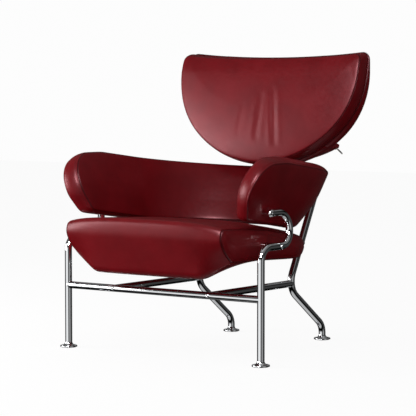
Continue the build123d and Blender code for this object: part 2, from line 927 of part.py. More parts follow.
with BuildPart() as back_cover:
    add(wrap_leather)
    add(wrap_core, mode=Mode.SUBTRACT)
    for shank in shanks:
        add(shank, mode=Mode.SUBTRACT)
save(back_cover, "back_cover")

# Headrest: the front cushion, a steel plate behind it, and the rear body round sleeves on the necks
with BuildPart() as headrest_foam:
    add(head_cushion_form(leather))
save(headrest_foam, "headrest_foam")

with BuildPart() as headrest_cover:
    add(head_cushion_form(0))
    add(headrest_foam.part, mode=Mode.SUBTRACT)
save(headrest_cover, "headrest_cover")

with BuildPart() as headrest_plate:
    with BuildSketch(head_plane.offset(-head_thick)):
        add(half_moon(plate_inset))
    extrude(amount=-plate_thick)
save(headrest_plate, "headrest_plate")

with BuildPart() as headrest_sleeves:
    for side, word in sides:
        low = neck_point(side, sleeve_low)
        high = neck_point(side, sleeve_high)
        add(round_bar(low, high, tube_d + 2 * sleeve_wall))
    for core in rear_cores.values():
        add(core, mode=Mode.SUBTRACT)
save(headrest_sleeves, "headrest_sleeves")

sleeve_blanks = [
    round_bar(neck_point(side, sleeve_low), neck_point(side, neck_top_height), tube_d + 2 * sleeve_wall)
    for side, word in sides
]
with BuildPart() as headrest_fins:
    for side, word in sides:
        with BuildSketch(Plane.YZ.offset(side * neck_x)):
            with BuildLine():
                Polyline(
                    yz(head_face_back - head_thick, fin_low),
                    yz(neck_top_back, fin_low),
                    yz(neck_top_back, fin_high),
                    yz(head_face_back - head_thick, fin_high),
                    close=True,
                )
            make_face()
        extrude(amount=fin_thick / 2, both=True)
    split(bisect_by=head_plane.offset(-(head_thick + plate_thick)), keep=Keep.BOTTOM)
    for blank in sleeve_blanks:
        add(blank, mode=Mode.SUBTRACT)
save(headrest_fins, "headrest_fins")

body_leather = head_body_form(0)
body_core = head_body_form(leather)
with BuildPart() as headrest_body_foam:
    add(body_core)
    add(headrest_plate.part, mode=Mode.SUBTRACT)
    add(headrest_fins.part, mode=Mode.SUBTRACT)
    for blank in sleeve_blanks:
        add(blank, mode=Mode.SUBTRACT)
save(headrest_body_foam, "headrest_body_foam")

with BuildPart() as headrest_body_cover:
    add(body_leather)
    add(body_core, mode=Mode.SUBTRACT)
    add(headrest_plate.part, mode=Mode.SUBTRACT)
    for blank in sleeve_blanks:
        add(blank, mode=Mode.SUBTRACT)
save(headrest_body_cover, "headrest_body_cover")

# Zip along the lip: tape, ribbed chain, stops, slider, its pin and the pull
with BuildPart() as zip_tape:
    add(zip_run(zip_strip(tape_width / 2, 0, tape_thick), zip_angle, 2 * zip_angle))
save(zip_tape, "zip_tape")

chain_mid = tape_thick + chain_thick / 2
chain_top = tape_thick + chain_thick
tooth_pitch = 2 * zip_angle / tooth_count
with BuildPart() as zip_teeth:
    add(zip_run(zip_strip(chain_width / 2, tape_thick, chain_mid), zip_angle, 2 * zip_angle))
    for tooth in range(tooth_count):
        start = zip_angle - tooth * tooth_pitch
        crest = zip_strip(chain_width / 2, chain_mid, chain_top)
        add(zip_run(crest, start, tooth_pitch * tooth_share))
save(zip_teeth, "zip_teeth")

with BuildPart() as zip_stops:
    for start in (zip_angle + stop_turn, -zip_angle):
        add(zip_run(zip_strip(slider_width / 2, 0, chain_top), start, stop_turn))
save(zip_stops, "zip_stops")

slider_top = chain_top + slider_gap + slider_wall
channel = chain_width / 2 + slider_gap
slider_profile = [
    zip_point(-slider_width / 2, tape_thick + slider_gap),
    zip_point(-channel, tape_thick + slider_gap),
    zip_point(-channel, chain_top + slider_gap),
    zip_point(channel, chain_top + slider_gap),
    zip_point(channel, tape_thick + slider_gap),
    zip_point(slider_width / 2, tape_thick + slider_gap),
    zip_point(slider_width / 2, slider_top),
    zip_point(-slider_width / 2, slider_top),
]
lean = math.radians(slider_angle)
slider_seat = turned(slider_angle).from_local_coords(zip_point(0, slider_top))
out_way = Vector(math.sin(lean), 1, -math.cos(lean)) * math.sqrt(0.5)
slider_plane = Plane(origin=slider_seat, x_dir=(math.cos(lean), 0, math.sin(lean)), z_dir=out_way)
pin_plane = Plane(
    origin=slider_plane.from_local_coords((0, 0, pin_height)),
    x_dir=slider_plane.x_dir,
    z_dir=slider_plane.y_dir,
)
lug_reach = barrel_width / 2 + slider_gap / 2
with BuildPart() as zip_slider:
    add(zip_run(slider_profile, slider_angle + slider_turn / 2, slider_turn))
    with BuildSketch(slider_plane.offset(-slider_wall / 2)):
        with GridLocations(0, 2 * lug_reach + lug_thick, 1, 2):
            Rectangle(lug_length, lug_thick)
    extrude(amount=lug_height + slider_wall / 2)
    with BuildSketch(pin_plane):
        Circle(pin_d / 2)
    extrude(amount=slider_width, both=True, mode=Mode.SUBTRACT)
save(zip_slider, "zip_slider")

with BuildPart() as pull_pin:
    with BuildSketch(pin_plane):
        Circle(pin_d / 2)
    extrude(amount=lug_reach + lug_thick, both=True)
save(pull_pin, "pull_pin")

with BuildPart() as zip_pull:
    blade_plane = Plane(origin=pin_plane.origin, x_dir=slider_plane.y_dir, z_dir=slider_plane.x_dir)
    with BuildSketch(blade_plane) as blade:
        blade_way = 1 if blade_plane.y_dir.dot(out_way) > 0 else -1
        with Locations((0, blade_way * neck_length)):
            Rectangle(barrel_width, 2 * neck_length)
        with Locations((0, blade_way * (neck_length + pull_length / 2))):
            RectangleRounded(pull_width, pull_length, pull_width / 2 * tooth_share)
        with Locations((0, blade_way * (neck_length + pull_length - pull_width / 2))):
            Circle(pull_eye_d / 2, mode=Mode.SUBTRACT)
    extrude(amount=pull_thick / 2, both=True)
    with BuildSketch(pin_plane):
        Circle(barrel_d / 2)
    extrude(amount=barrel_width / 2, both=True)
    with BuildSketch(pin_plane):
        Circle(pin_d / 2 + pin_gap)
    extrude(amount=barrel_width, both=True, mode=Mode.SUBTRACT)
save(zip_pull, "zip_pull")
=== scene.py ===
# %% [markdown]
# # A leather lounge chair on a chromed tube frame
# The chair is three padded pieces on bent steel tube: a wide seat, one wrap that is both arms and
# back, and a half-moon headrest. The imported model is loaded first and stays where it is. Everything
# that the eye meets, which is leather and chrome, is then made round it in the same place and size.

import json
import math

import bmesh
import bpy
import numpy as np
from mathutils import Matrix, Vector
from mathutils.bvhtree import BVHTree
from mathutils.kdtree import KDTree


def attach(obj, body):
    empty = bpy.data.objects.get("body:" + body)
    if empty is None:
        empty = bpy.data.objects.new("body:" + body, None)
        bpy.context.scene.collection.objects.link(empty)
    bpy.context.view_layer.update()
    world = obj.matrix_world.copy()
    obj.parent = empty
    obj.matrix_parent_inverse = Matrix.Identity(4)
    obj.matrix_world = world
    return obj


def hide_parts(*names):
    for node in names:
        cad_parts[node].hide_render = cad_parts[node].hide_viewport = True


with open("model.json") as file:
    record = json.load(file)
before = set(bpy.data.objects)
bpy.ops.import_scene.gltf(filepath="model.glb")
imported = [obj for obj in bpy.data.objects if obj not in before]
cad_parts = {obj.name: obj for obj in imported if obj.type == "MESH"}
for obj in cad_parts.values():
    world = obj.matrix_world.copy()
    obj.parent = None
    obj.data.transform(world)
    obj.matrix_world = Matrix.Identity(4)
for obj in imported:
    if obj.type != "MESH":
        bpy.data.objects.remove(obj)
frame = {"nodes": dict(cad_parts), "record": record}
scene = bpy.context.scene
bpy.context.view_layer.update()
MM = 0.001

# %% [markdown]
# The camera stands where the photograph was taken from: well to the sitter's left, about seven
# metres off and a little above the seat, with a long lens. It comes first, so that every piece can
# be judged against the photograph as soon as it is made.

# %% Camera
CAMERA_AZIMUTH = 36.13
CAMERA_ELEVATION = 3.66
CAMERA_DISTANCE = 6.7355
CAMERA_TARGET = Vector((0.00217, -0.05672, 0.49028))
CAMERA_LENS = 167.51
SENSOR = 36.0


def look_from(azimuth, elevation):
    """the direction from the target to a viewer"""
    turn, rise = math.radians(azimuth), math.radians(elevation)
    flat = math.cos(rise)
    return Vector((math.sin(turn) * flat, -math.cos(turn) * flat, math.sin(rise)))


camera_data = bpy.data.cameras.new("photo_camera")
camera_data.lens = CAMERA_LENS
camera_data.sensor_width = SENSOR
camera_data.clip_end = 100.0
camera = bpy.data.objects.new("photo_camera", camera_data)
scene.collection.objects.link(camera)
camera_way = look_from(CAMERA_AZIMUTH, CAMERA_ELEVATION)
camera.location = CAMERA_TARGET + camera_way * CAMERA_DISTANCE
camera.rotation_mode = "QUATERNION"
camera.rotation_quaternion = (-camera_way).to_track_quat("-Z", "Y")
scene.camera = camera
scene.view_settings.view_transform = "Standard"

# %% [markdown]
# A few small helpers serve every material. One turns a colour as a painter writes it into the
# linear numbers that the shader wants, one gives a node its settings and links, one adds a new
# node, and one starts a new material.

# %% Material helpers


def linear(hex_colour):
    """a colour written as sRGB hex, as linear red, green, blue and alpha"""
    parts = [int(hex_colour[k : k + 2], 16) / 255 for k in (1, 3, 5)]
    return [p / 12.92 if p <= 0.04045 else ((p + 0.055) / 1.055) ** 2.4 for p in parts] + [1.0]


def set_node(tree, node, settings=None, links=None):
    """sets a node's properties, sockets or colour stops, and links its sockets from others"""
    for name, value in (settings or {}).items():
        if name == "stops":
            elements = node.color_ramp.elements
            while len(elements) < len(value):
                elements.new(0.5)
            for element, (place, colour) in zip(elements, value):
                element.position = place
                element.color = colour
        elif isinstance(name, int) or name in node.inputs:
            node.inputs[name].default_value = value
        else:
            setattr(node, name, value)
    for name, source in (links or {}).items():
        tree.links.new(source, node.inputs[name])
    return node


def add_node(tree, kind, settings=None, links=None):
    """adds a node with its settings and links"""
    return set_node(tree, tree.nodes.new("ShaderNode" + kind), settings, links)


def new_material(name):
    """an empty node material, its node tree and its principled shader"""
    material = bpy.data.materials.new(name)
    material.use_nodes = True
    return material, material.node_tree, material.node_tree.nodes["Principled BSDF"]


# %% [markdown]
# The covers are smooth aniline hide, dyed oxblood and lightly polished. Such leather has a broad
# soft shine with a tint of its dye, a colour that clouds slowly over the hide, and a very fine
# grain. Along each seam the colour is darkened as painted shade for the seam's groove. The real
# pores are about half a millimetre apart, too fine for this picture, so the grain is drawn at two
# millimetres.

# %% Leather
GRAIN_MM, CREASE_MM, FOLD_MM, CLOUD_MM = 2.0, 12.0, 26.0, 90.0
LEATHER_DEEP, LEATHER_BODY, LEATHER_WORN = "#6C060E", "#750811", "#7D0B15"
# painted shade for the seam grooves, not a colour of the hide
LEATHER_SEAM_SHADE = "#2C0307"
PORE_SHARE = 0.35


def make_leather(name):
    """polished hide, its shine broken by creases, with painted shade along its seam grooves"""
    material, tree, shader = new_material(name)
    place = add_node(tree, "TexCoord").outputs["Object"]
    cloud = add_node(
        tree,
        "TexNoise",
        {"Scale": 1 / (CLOUD_MM * MM), "Detail": 4.0, "Roughness": 0.55},
        {"Vector": place},
    )
    stops = zip((0.3, 0.52, 0.78), map(linear, (LEATHER_DEEP, LEATHER_BODY, LEATHER_WORN)))
    dye = add_node(tree, "ValToRGB", {"stops": list(stops)}, {"Fac": cloud.outputs["Fac"]})
    pores = add_node(
        tree, "TexVoronoi", {"Scale": 1 / (GRAIN_MM * MM), "Randomness": 1.0}, {"Vector": place}
    )
    creases = add_node(
        tree,
        "TexNoise",
        {"Scale": 1 / (CREASE_MM * MM), "Detail": 6.0, "Roughness": 0.6},
        {"Vector": place},
    )
    grain = add_node(
        tree,
        "Math",
        {"operation": "MULTIPLY_ADD", 1: PORE_SHARE},
        {0: pores.outputs["Distance"], 2: creases.outputs["Fac"]},
    )
    folds = add_node(
        tree,
        "TexNoise",
        {"Scale": 1 / (FOLD_MM * MM), "Detail": 3.0, "Roughness": 0.6},
        {"Vector": place},
    )
    soft_bump = add_node(
        tree, "Bump", {"Strength": 0.35, "Distance": 1.0 * MM}, {"Height": folds.outputs["Fac"]}
    )
    bump = add_node(
        tree,
        "Bump",
        {"Strength": 0.2, "Distance": 0.4 * MM},
        {"Height": grain.outputs[0], "Normal": soft_bump.outputs["Normal"]},
    )
    sheen = add_node(
        tree,
        "MapRange",
        {"From Min": 0.3, "From Max": 0.7, "To Min": 0.31, "To Max": 0.41},
        {"Value": creases.outputs["Fac"]},
    )
    # painted shade: the seam weight darkens the dye along each seam's groove
    seam = add_node(tree, "Attribute", {"attribute_name": "seam"})
    dye_and_seam_shade = add_node(
        tree,
        "Mix",
        {"data_type": "RGBA", 7: linear(LEATHER_SEAM_SHADE)},
        {0: seam.outputs["Fac"], 6: dye.outputs["Color"]},
    )
    set_node(
        tree,
        shader,
        {"IOR": 1.5, "Specular IOR Level": 0.34, "Specular Tint": (1.0, 0.45, 0.5, 1.0)},
        {
            "Base Color": dye_and_seam_shade.outputs[2],
            "Roughness": sheen.outputs["Result"],
            "Normal": bump.outputs["Normal"],
        },
    )
    return material


leather = make_leather("aniline_hide_oxblood")

# %% [markdown]
# The tube is steel, polished and plated with bright chrome. It mirrors the studio with almost no
# blur, and a trace of uneven polish keeps its reflections from looking computed. The zip's nickel
# is warmer and satin, and the bolts are steel with a finer polish than the zip's.

# %% Chrome and the small metals


def make_metal(name, colour, rough_low, rough_high, streak_mm, bump_strength=0.02):
    """a plated metal, its roughness varied by streaks of uneven polish"""
    material, tree, shader = new_material(name)
    place = add_node(tree, "TexCoord").outputs["Object"]
    polish = add_node(
        tree, "TexNoise", {"Scale": 1 / (streak_mm * MM), "Detail": 3.0}, {"Vector": place}
    )
    rough = add_node(
        tree,
        "MapRange",
        {"From Min": 0.3, "From Max": 0.7, "To Min": rough_low, "To Max": rough_high},
        {"Value": polish.outputs["Fac"]},
    )
    bump = add_node(
        tree,
        "Bump",
        {"Strength": bump_strength, "Distance": 0.5 * MM},
        {"Height": polish.outputs["Fac"]},
    )
    set_node(
        tree,
        shader,
        {"Base Color": linear(colour), "Metallic": 1.0},
        {"Roughness": rough.outputs["Result"], "Normal": bump.outputs["Normal"]},
    )
    return material


chrome = make_metal("chrome_plated_steel", "#E4E6E8", 0.03, 0.07, 40.0)
nickel = make_metal("nickel_plated_zip", "#CFCCC4", 0.16, 0.28, 3.0, 0.1)
bolt_steel = make_metal("polished_bolt_steel", "#D6D8DA", 0.10, 0.18, 6.0, 0.05)

# %% [markdown]
# The hidden and the small materials follow. Each is a plain one with the single pattern that its
# real surface has. Foam is matt and pale, with open cells. Sawn beech has a long grain. Lacquered
# steel and moulded nylon are near black, with a faint unevenness and a half shine. Webbing, tape
# and thread are matt and show their threads, and the zip's acetal teeth are pale and a little
# glossy.

# %% The other materials


def make_plain(name, dark, light, grain_mm, rough, stretch=(1.0, 1.0, 1.0), bump_strength=0.3):
    """a material with one pattern, in two shades and as relief"""
    material, tree, shader = new_material(name)
    place = add_node(tree, "TexCoord").outputs["Object"]
    turned = add_node(tree, "Mapping", {"Scale": stretch}, {"Vector": place})
    pattern = add_node(
        tree,
        "TexNoise",
        {"Scale": 1 / (grain_mm * MM), "Detail": 5.0, "Roughness": 0.6},
        {"Vector": turned.outputs["Vector"]},
    )
    stops = [(0.35, linear(dark)), (0.65, linear(light))]
    tint = add_node(tree, "ValToRGB", {"stops": stops}, {"Fac": pattern.outputs["Fac"]})
    bump = add_node(
        tree,
        "Bump",
        {"Strength": bump_strength, "Distance": 0.3 * MM},
        {"Height": pattern.outputs["Fac"]},
    )
    links = {"Base Color": tint.outputs["Color"], "Normal": bump.outputs["Normal"]}
    set_node(tree, shader, {"Roughness": rough}, links)
    return material


foam = make_plain("open_cell_foam", "#D9CFAE", "#EDE6CC", 1.5, 0.9)
beech = make_plain("sawn_beech", "#A98458", "#C9A67A", 4.0, 0.6, (0.12, 1.0, 1.0))
lacquer = make_plain("black_lacquered_steel", "#161617", "#232325", 2.5, 0.4, bump_strength=0.1)
webbing = make_plain("woven_elastic_webbing", "#1F1B17", "#3A342C", 1.2, 0.85)
glide_nylon = make_plain("moulded_nylon", "#141415", "#202022", 2.0, 0.5, bump_strength=0.1)
zip_tape = make_plain("woven_zip_tape", "#38060C", "#4C0A12", 0.8, 0.8)
zip_acetal = make_plain("moulded_acetal_teeth", "#C9BEB2", "#DDD4C8", 1.0, 0.45, bump_strength=0.1)
thread = make_plain("bonded_polyester_thread", "#3A050B", "#5A0A13", 0.6, 0.5)

finishes = {
    "cover_leather": leather,
    "cushion_foam": foam,
    "polished_chrome": chrome,
    "bolt_steel": bolt_steel,
    "glide_plastic": glide_nylon,
    "frame_wood": beech,
    "frame_steel": lacquer,
    "belt_webbing": webbing,
    "zip_tape_cloth": zip_tape,
    "zip_chain_plastic": zip_acetal,
    "zip_nickel": nickel,
}
for part in frame["record"]["subparts"]:
    node = frame["nodes"][part["node"]]
    node.data.materials.clear()
    node.data.materials.append(finishes[part["material_slot"]])
print("finishes on", len(frame["nodes"]), "nodes")

# %% [markdown]
# Outlines are drawn as a maker draws a pattern: straight lines whose corners are rounded with a
# given radius. One helper rounds the corners, and one spaces points along what it drew. One finds
# the way inwards from an outline, and one cuts it into the sides of a panel.

# %% Drawing outlines
ARC_STEP, LEAST_STEPS = 2.0, 3


def rounded(corners, radii, closed=True):
    """points along a line of corners, each rounded by its radius"""
    corners = [np.array(c, float) for c in corners]
    points = []
    for k, (corner, radius) in enumerate(zip(corners, radii)):
        if radius == 0:
            points.append(corner)
            continue
        before = corners[k - 1] - corner
        after = corners[(k + 1) % len(corners)] - corner
        before /= np.linalg.norm(before)
        after /= np.linalg.norm(after)
        half = math.acos(max(-1.0, min(1.0, before @ after))) / 2
        middle = (before + after) / np.linalg.norm(before + after)
        centre = corner + middle * radius / math.sin(half)
        start = corner + before * radius / math.tan(half) - centre
        end = corner + after * radius / math.tan(half) - centre
        turn = math.pi - 2 * half
        steps = max(LEAST_STEPS, math.ceil(turn * radius / ARC_STEP))
        for t in np.linspace(0, 1, steps + 1):
            arm = math.sin((1 - t) * turn) * start + math.sin(t * turn) * end
            points.append(centre + arm / math.sin(turn))
    if closed:
        points.append(points[0])
    return np.array(points)


def spaced(path, shares):
    """points of a path at shares of its length, from 0 to 1"""
    path = np.asarray(path, float)
    gaps = np.linalg.norm(np.diff(path, axis=0), axis=1)
    along = np.concatenate([[0], np.cumsum(gaps)])
    want = np.asarray(shares) * along[-1]
    return np.stack([np.interp(want, along, path[:, k]) for k in range(path.shape[1])], axis=1)


def inward_ways(loop):
    """the unit step inwards at each point of a closed anticlockwise loop"""
    ahead = np.roll(loop, -1, axis=0) - np.roll(loop, 1, axis=0)
    inward = np.stack([-ahead[:, 1], ahead[:, 0]], axis=1)
    return inward / np.linalg.norm(inward, axis=1)[:, None]


def cut_loop(loop, spots):
    """a closed path cut into open ones at the points nearest to some spots"""
    loop = np.asarray(loop, float)[:-1]
    picks = [int(np.argmin(np.linalg.norm(loop - np.array(spot), axis=1))) for spot in spots]
    pieces = []
    for first, last in zip(picks, picks[1:] + picks[:1]):
        span = (last - first) % len(loop)
        pieces.append(loop[[(first + k) % len(loop) for k in range(span + 1)]])
    return pieces


# %% [markdown]
# Each padded piece is made flat first, as its leather is cut, and bent into place afterwards. The
# flat form is a panel with a second panel behind it and a boxing strip between them. A grid fills
# the middle of the panel, and rings of quads, closer and closer together, run out to the seam, so
# that the seam can be a true fold in the mesh. Every point remembers which panel it belongs to.

# %% The flat pad
FACE, BAND, BACK = 0, 1, 2
RING_INSETS = (20.0, 15.0, 11.0, 8.0, 5.5, 3.6, 2.1, 1.0)
BAND_REACH = 0.75
MERGE_GAP = 0.05


def flat_pad(sides, half_thick, band_rows):
    """a slab in flat pattern space, from four open paths that go round it anticlockwise"""
    columns, rows = len(sides[0]) - 1, len(sides[1]) - 1
    ring = np.concatenate([side[:-1] for side in sides])
    inward = inward_ways(ring)
    core = ring + inward * RING_INSETS[0]
    pad = bmesh.new()
    slot = pad.verts.layers.int.new("slot")
    panel = pad.verts.layers.int.new("panel")
    bmesh.ops.create_grid(pad, x_segments=columns, y_segments=rows, size=1.0)
    low, high = core[: columns + 1], core[columns + rows : 2 * columns + rows + 1][::-1]
    right = core[columns : columns + rows + 1]
    left = np.concatenate([core[2 * columns + rows :], core[:1]])[::-1]
    for vert in pad.verts:
        i = round((vert.co.x + 1) / 2 * columns)
        j = round((vert.co.y + 1) / 2 * rows)
        u, v = i / columns, j / rows
        flat = (1 - v) * low[i] + v * high[i] + (1 - u) * left[j] + u * right[j]
        flat -= (
            (1 - u) * (1 - v) * low[0]
            + u * (1 - v) * low[-1]
            + (1 - u) * v * high[0]
            + u * v * high[-1]
        )
        vert.co = (flat[0], flat[1], half_thick)
        if j == 0:
            vert[slot] = i
        elif i == columns:
            vert[slot] = columns + j
        elif j == rows:
            vert[slot] = 2 * columns + rows - i
        elif i == 0:
            vert[slot] = 2 * columns + 2 * rows - j
        else:
            vert[slot] = -1
    edges = [edge for edge in pad.edges if edge.is_boundary]

    def next_ring(edges, place):
        """a ring of quads run out from the open edges, each new point put in its place"""
        made = bmesh.ops.extrude_edge_only(pad, edges=edges)["geom"]
        for vert in (g for g in made if isinstance(g, bmesh.types.BMVert)):
            vert.co = place(vert[slot])
        return [g for g in made if isinstance(g, bmesh.types.BMEdge) and g.is_boundary]

    for inset in (*RING_INSETS[1:], 0.0):
        outline = ring + inward * inset
        edges = next_ring(edges, lambda k, outline=outline: (*outline[k], half_thick))
    twin = bmesh.ops.duplicate(pad, geom=[*pad.verts, *pad.edges, *pad.faces])["geom"]
    twin_faces = [g for g in twin if isinstance(g, bmesh.types.BMFace)]
    for vert in (g for g in twin if isinstance(g, bmesh.types.BMVert)):
        vert.co.z = -half_thick
        vert[panel] = BACK
    bmesh.ops.reverse_faces(pad, faces=twin_faces)
    for row in band_rows:
        edges = next_ring(edges, lambda k, row=row: (*ring[k], row * half_thick))
        for edge in edges:
            for vert in edge.verts:
                vert[panel] = BAND
    bmesh.ops.remove_doubles(pad, verts=pad.verts, dist=MERGE_GAP)
    bmesh.ops.recalc_face_normals(pad, faces=pad.faces)
    return pad, ring


def band_shares(half_thick):
    """rows across a boxing strip, as shares from one seam at 1 to the other at -1"""
    insets = [inset for inset in sorted(RING_INSETS) if inset < BAND_REACH * half_thick]
    near = [1 - inset / half_thick for inset in insets]
    return [*near, 0.0, *[-share for share in reversed(near)], -1.0]


# %% [markdown]
# Upholstery pulls a seam in and lets the padding swell between seams. Each point of the pad is
# pushed along its normal by its distance from the nearest seam: deep in the seam itself, up over a
# round shoulder, and slowly up to the full swell. A shallow channel beside the seam holds a row of
# stitches, which is why a sewn edge shows two lines. Three of the four pads are made flat and bent,
# so one helper does both steps for them.

# %% Upholster
WRAP_SWELL = (12.5, 8.0, 10.0)
SEAT_SWELL = (11.0, 16.0, 6.0)
HEAD_SWELL = (9.0, 5.0, 2.0)
BODY_SWELL = (0.0, 9.0, 5.0)
SWELL_WIDTHS = (55.0, 22.0, 55.0)
SHOULDER, SHOULDER_WIDTH = 2.6, 13.0
GROOVE, GROOVE_WIDTH = 2.6, 1.9
CHANNEL, CHANNEL_WIDTH = 1.5, 1.7
STITCH_INSET, SEAM_WIDTH = 8.0, 3.0
MOST_SHELL = 1.3


def dense(points, share=6):
    """a closed run of points with more between each two"""
    starts = np.asarray(points, float)
    ends = np.roll(starts, -1, axis=0)
    return np.concatenate([starts + (ends - starts) * k / share for k in range(share)])


def move_all(pad, moves):
    """moves each point of a pad by its own move"""
    for vert, move in zip(pad.verts, moves):
        vert.co += move


def upholster(pad, seams, swells):
    """pushes a bent pad's points out by their distance from the seams; a swell for each panel"""
    tree = KDTree(len(seams))
    for k, point in enumerate(seams):
        tree.insert(point, k)
    tree.balance()
    seam = pad.verts.layers.float.new("seam")
    panel = pad.verts.layers.int.get("panel")
    bmesh.ops.recalc_face_normals(pad, faces=pad.faces)
    pad.normal_update()
    moves = []
    for vert in pad.verts:
        gap = tree.find(vert.co)[2] / MM
        reach = max(0.0, 1 - gap / SHOULDER_WIDTH)
        # the seam weight marks where the leather gets painted shade along the seam grooves
        vert[seam] = math.exp(-((gap / SEAM_WIDTH) ** 2))
        push = swells[vert[panel]] * (1 - math.exp(-gap / SWELL_WIDTHS[vert[panel]]))
        push -= SHOULDER * (1 - math.sqrt(1 - reach**2))
        push -= GROOVE * math.exp(-((gap / GROOVE_WIDTH) ** 2))
        if vert[panel] == BAND:
            push -= CHANNEL * math.exp(-(((gap - STITCH_INSET) / CHANNEL_WIDTH) ** 2))
        factor = min(MOST_SHELL, vert.calc_shell_factor())
        moves.append(vert.normal * push * factor * MM)
    move_all(pad, moves)


def bent_pad(sides, half_thick, half_strip, bend, swells):
    """a flat pad whose points are bent into place by a rule, and which is then upholstered"""
    pad, ring = flat_pad(sides, half_thick, band_shares(half_strip))
    for vert in pad.verts:
        vert.co = bend(*vert.co)
    seams = [bend(*point, out) for out in (half_thick, -half_thick) for point in dense(ring)]
    upholster(pad, seams, swells)
    return pad, ring


# %% [markdown]
# Two more helpers shape a finished pad. One dents it where something hard bears on it, and one
# draws a soft fold between two places, with a low rim on each side of it.

# %% Dents and folds
FOLD_REACH, FOLD_RIM, FOLD_RIM_AT, FOLD_TAPER = 4, 0.3, 2.1, 0.6


def press(pad, spot, width, depth):
    """dents a pad at a spot in metres, by a width and a depth in millimetres"""
    pad.normal_update()
    moves = [
        -vert.normal * depth * MM * math.exp(-(((vert.co - spot).length / (width * MM)) ** 2))
        for vert in pad.verts
    ]
    move_all(pad, moves)


def crease(pad, start, end, width, depth):
    """a soft fold in a pad between two places on it, deepest half way"""
    run = end - start
    for vert in pad.verts:
        along = (vert.co - start).dot(run) / run.length_squared
        if 0 < along < 1:
            gap = (vert.co - start - run * along).length / (width * MM)
            if gap < FOLD_REACH:
                fold = math.exp(-(gap**2)) - FOLD_RIM * math.exp(-((gap - FOLD_RIM_AT) ** 2))
                taper = math.sin(math.pi * along) ** FOLD_TAPER
                vert.co -= vert.normal * (depth * MM * fold * taper)
    pad.normal_update()


# %% [markdown]
# A finished mesh becomes a piece of the chair: it gets its material and rides on the chair's body.
# A pad is also softened by one subdivision, and the solids that it stands for are hidden.

# %% From mesh to piece


def place_mesh(mesh, name, material):
    """a finished mesh as an object in the scene"""
    data = bpy.data.meshes.new(name)
    mesh.to_mesh(data)
    mesh.free()
    data.materials.append(material)
    placed = bpy.data.objects.new(name, data)
    scene.collection.objects.link(placed)
    print(name, len(data.polygons), "faces")
    return placed


def make_piece(mesh, name, material):
    """a finished mesh as a smooth piece that rides on the chair"""
    for face in mesh.faces:
        face.smooth = True
    piece = place_mesh(mesh, name, material)
    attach(piece, "chair")
    return piece


def finish_pad(pad, name, nodes):
    """a pad's mesh as a cushion of the chair, in place of its solids"""
    piece = make_piece(pad, name, leather)
    soften = piece.modifiers.new("soften", "SUBSURF")
    soften.levels = 1
    soften.render_levels = 1
    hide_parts(*nodes)


# %% [markdown]
# The arm and back wrap is one long pad, bent round the sitter and leaning outwards. Its side
# outline is drawn first, then unrolled onto the flat pattern, where its length runs round the back.

# %% The wrap's shape
FRONT_LEGS_Y = -322.0
WRAP_RADIUS, WRAP_FLARE = 386.0, 0.4125
WRAP_CENTRE, WRAP_CENTRE_FLARE = 300.0, 0.406
WRAP_HEIGHT = 590.0
WRAP_SPLAY = math.radians(1.5)
WRAP_THICK, WRAP_MIDDLE = 60.0, 26.0
ARM_WIDENING, ARM_TOE = 2.0, 0.30
LOW_WIDENING, LOW_HEIGHT, LOW_SPAN = 7.0, 570.0, 90.0
REAR_THINNING, REAR_START, REAR_SPAN = 0.6, 0.3, 0.4
THIN_HEIGHT, THIN_SPAN = 520.0, 80.0
DROP_HEIGHT, DROP_SPAN, LEAST_DROP = 440.0, 120.0, 0.4
WRAP_FRONT = -30.0
WRAP_CORNERS = (
    (WRAP_FRONT, 548.0),
    (4.0, 480.0),
    (310.0, 437.0),
    (780.0, 412.0),
    (780.0, 591.0),
    (480.0, 628.0),
    (140.0, 672.0),
    (WRAP_FRONT, 672.0),
)
WRAP_RADII = (95.0, 26.0, 400.0, 0, 0, 400.0, 300.0, 98.0)
FLAT_HEIGHT = 560.0
OUTLINE_POINTS = 2400


def grown(value, start, span):
    """how far a value has gone over a span from its start, from 0 to 1"""
    return min(1.0, max(0.0, (value - start) / span))


def wrap_circle(height):
    """radius and centre of the bend of the wrap's middle at a height"""
    radius = WRAP_RADIUS + WRAP_FLARE * (height - WRAP_HEIGHT) - WRAP_MIDDLE
    return radius, WRAP_CENTRE + WRAP_CENTRE_FLARE * (height - WRAP_HEIGHT)


flat_radius, flat_centre = wrap_circle(FLAT_HEIGHT)
ARC_LENGTH = flat_radius * (math.pi / 2 - WRAP_SPLAY)
ARM_LENGTH = flat_centre + flat_radius * math.sin(WRAP_SPLAY) - WRAP_FRONT


def bend_wrap(along, height, out):
    """a point of the flat pattern, bent round the sitter, in metres

    The thickness stands square to the leaning pad, so its outer seams hang lower than the inner.
    """
    radius, centre = wrap_circle(height)
    run = abs(along)
    turn = math.pi / 2 - min(1.0, run / ARC_LENGTH) * (math.pi / 2 - WRAP_SPLAY)
    across, back = radius * math.cos(turn), centre + radius * math.sin(turn)
    if run > ARC_LENGTH:
        root = back
        back += (run - ARC_LENGTH) / ARM_LENGTH * (WRAP_FRONT - root)
        across += (root - back) * math.tan(WRAP_SPLAY)
        front = ((run - ARC_LENGTH) / ARM_LENGTH) ** 2
        across += ARM_WIDENING * front
        across += LOW_WIDENING * front * max(0.0, (LOW_HEIGHT - height) / LOW_SPAN)
        back -= ARM_TOE * out * front
    lean = math.atan(WRAP_FLARE + WRAP_CENTRE_FLARE * math.sin(turn))
    if out > 0:
        rear = grown(math.sin(turn), REAR_START, REAR_SPAN)
        out *= 1 - REAR_THINNING * rear * grown(height, THIN_HEIGHT, THIN_SPAN)
    drop = out * math.sin(lean) * max(LEAST_DROP, grown(height, DROP_HEIGHT, DROP_SPAN))
    across += out * math.cos(lean) * math.cos(turn)
    back += out * math.cos(lean) * math.sin(turn)
    return Vector((math.copysign(across, along), FRONT_LEGS_Y + back, height - drop)) * MM


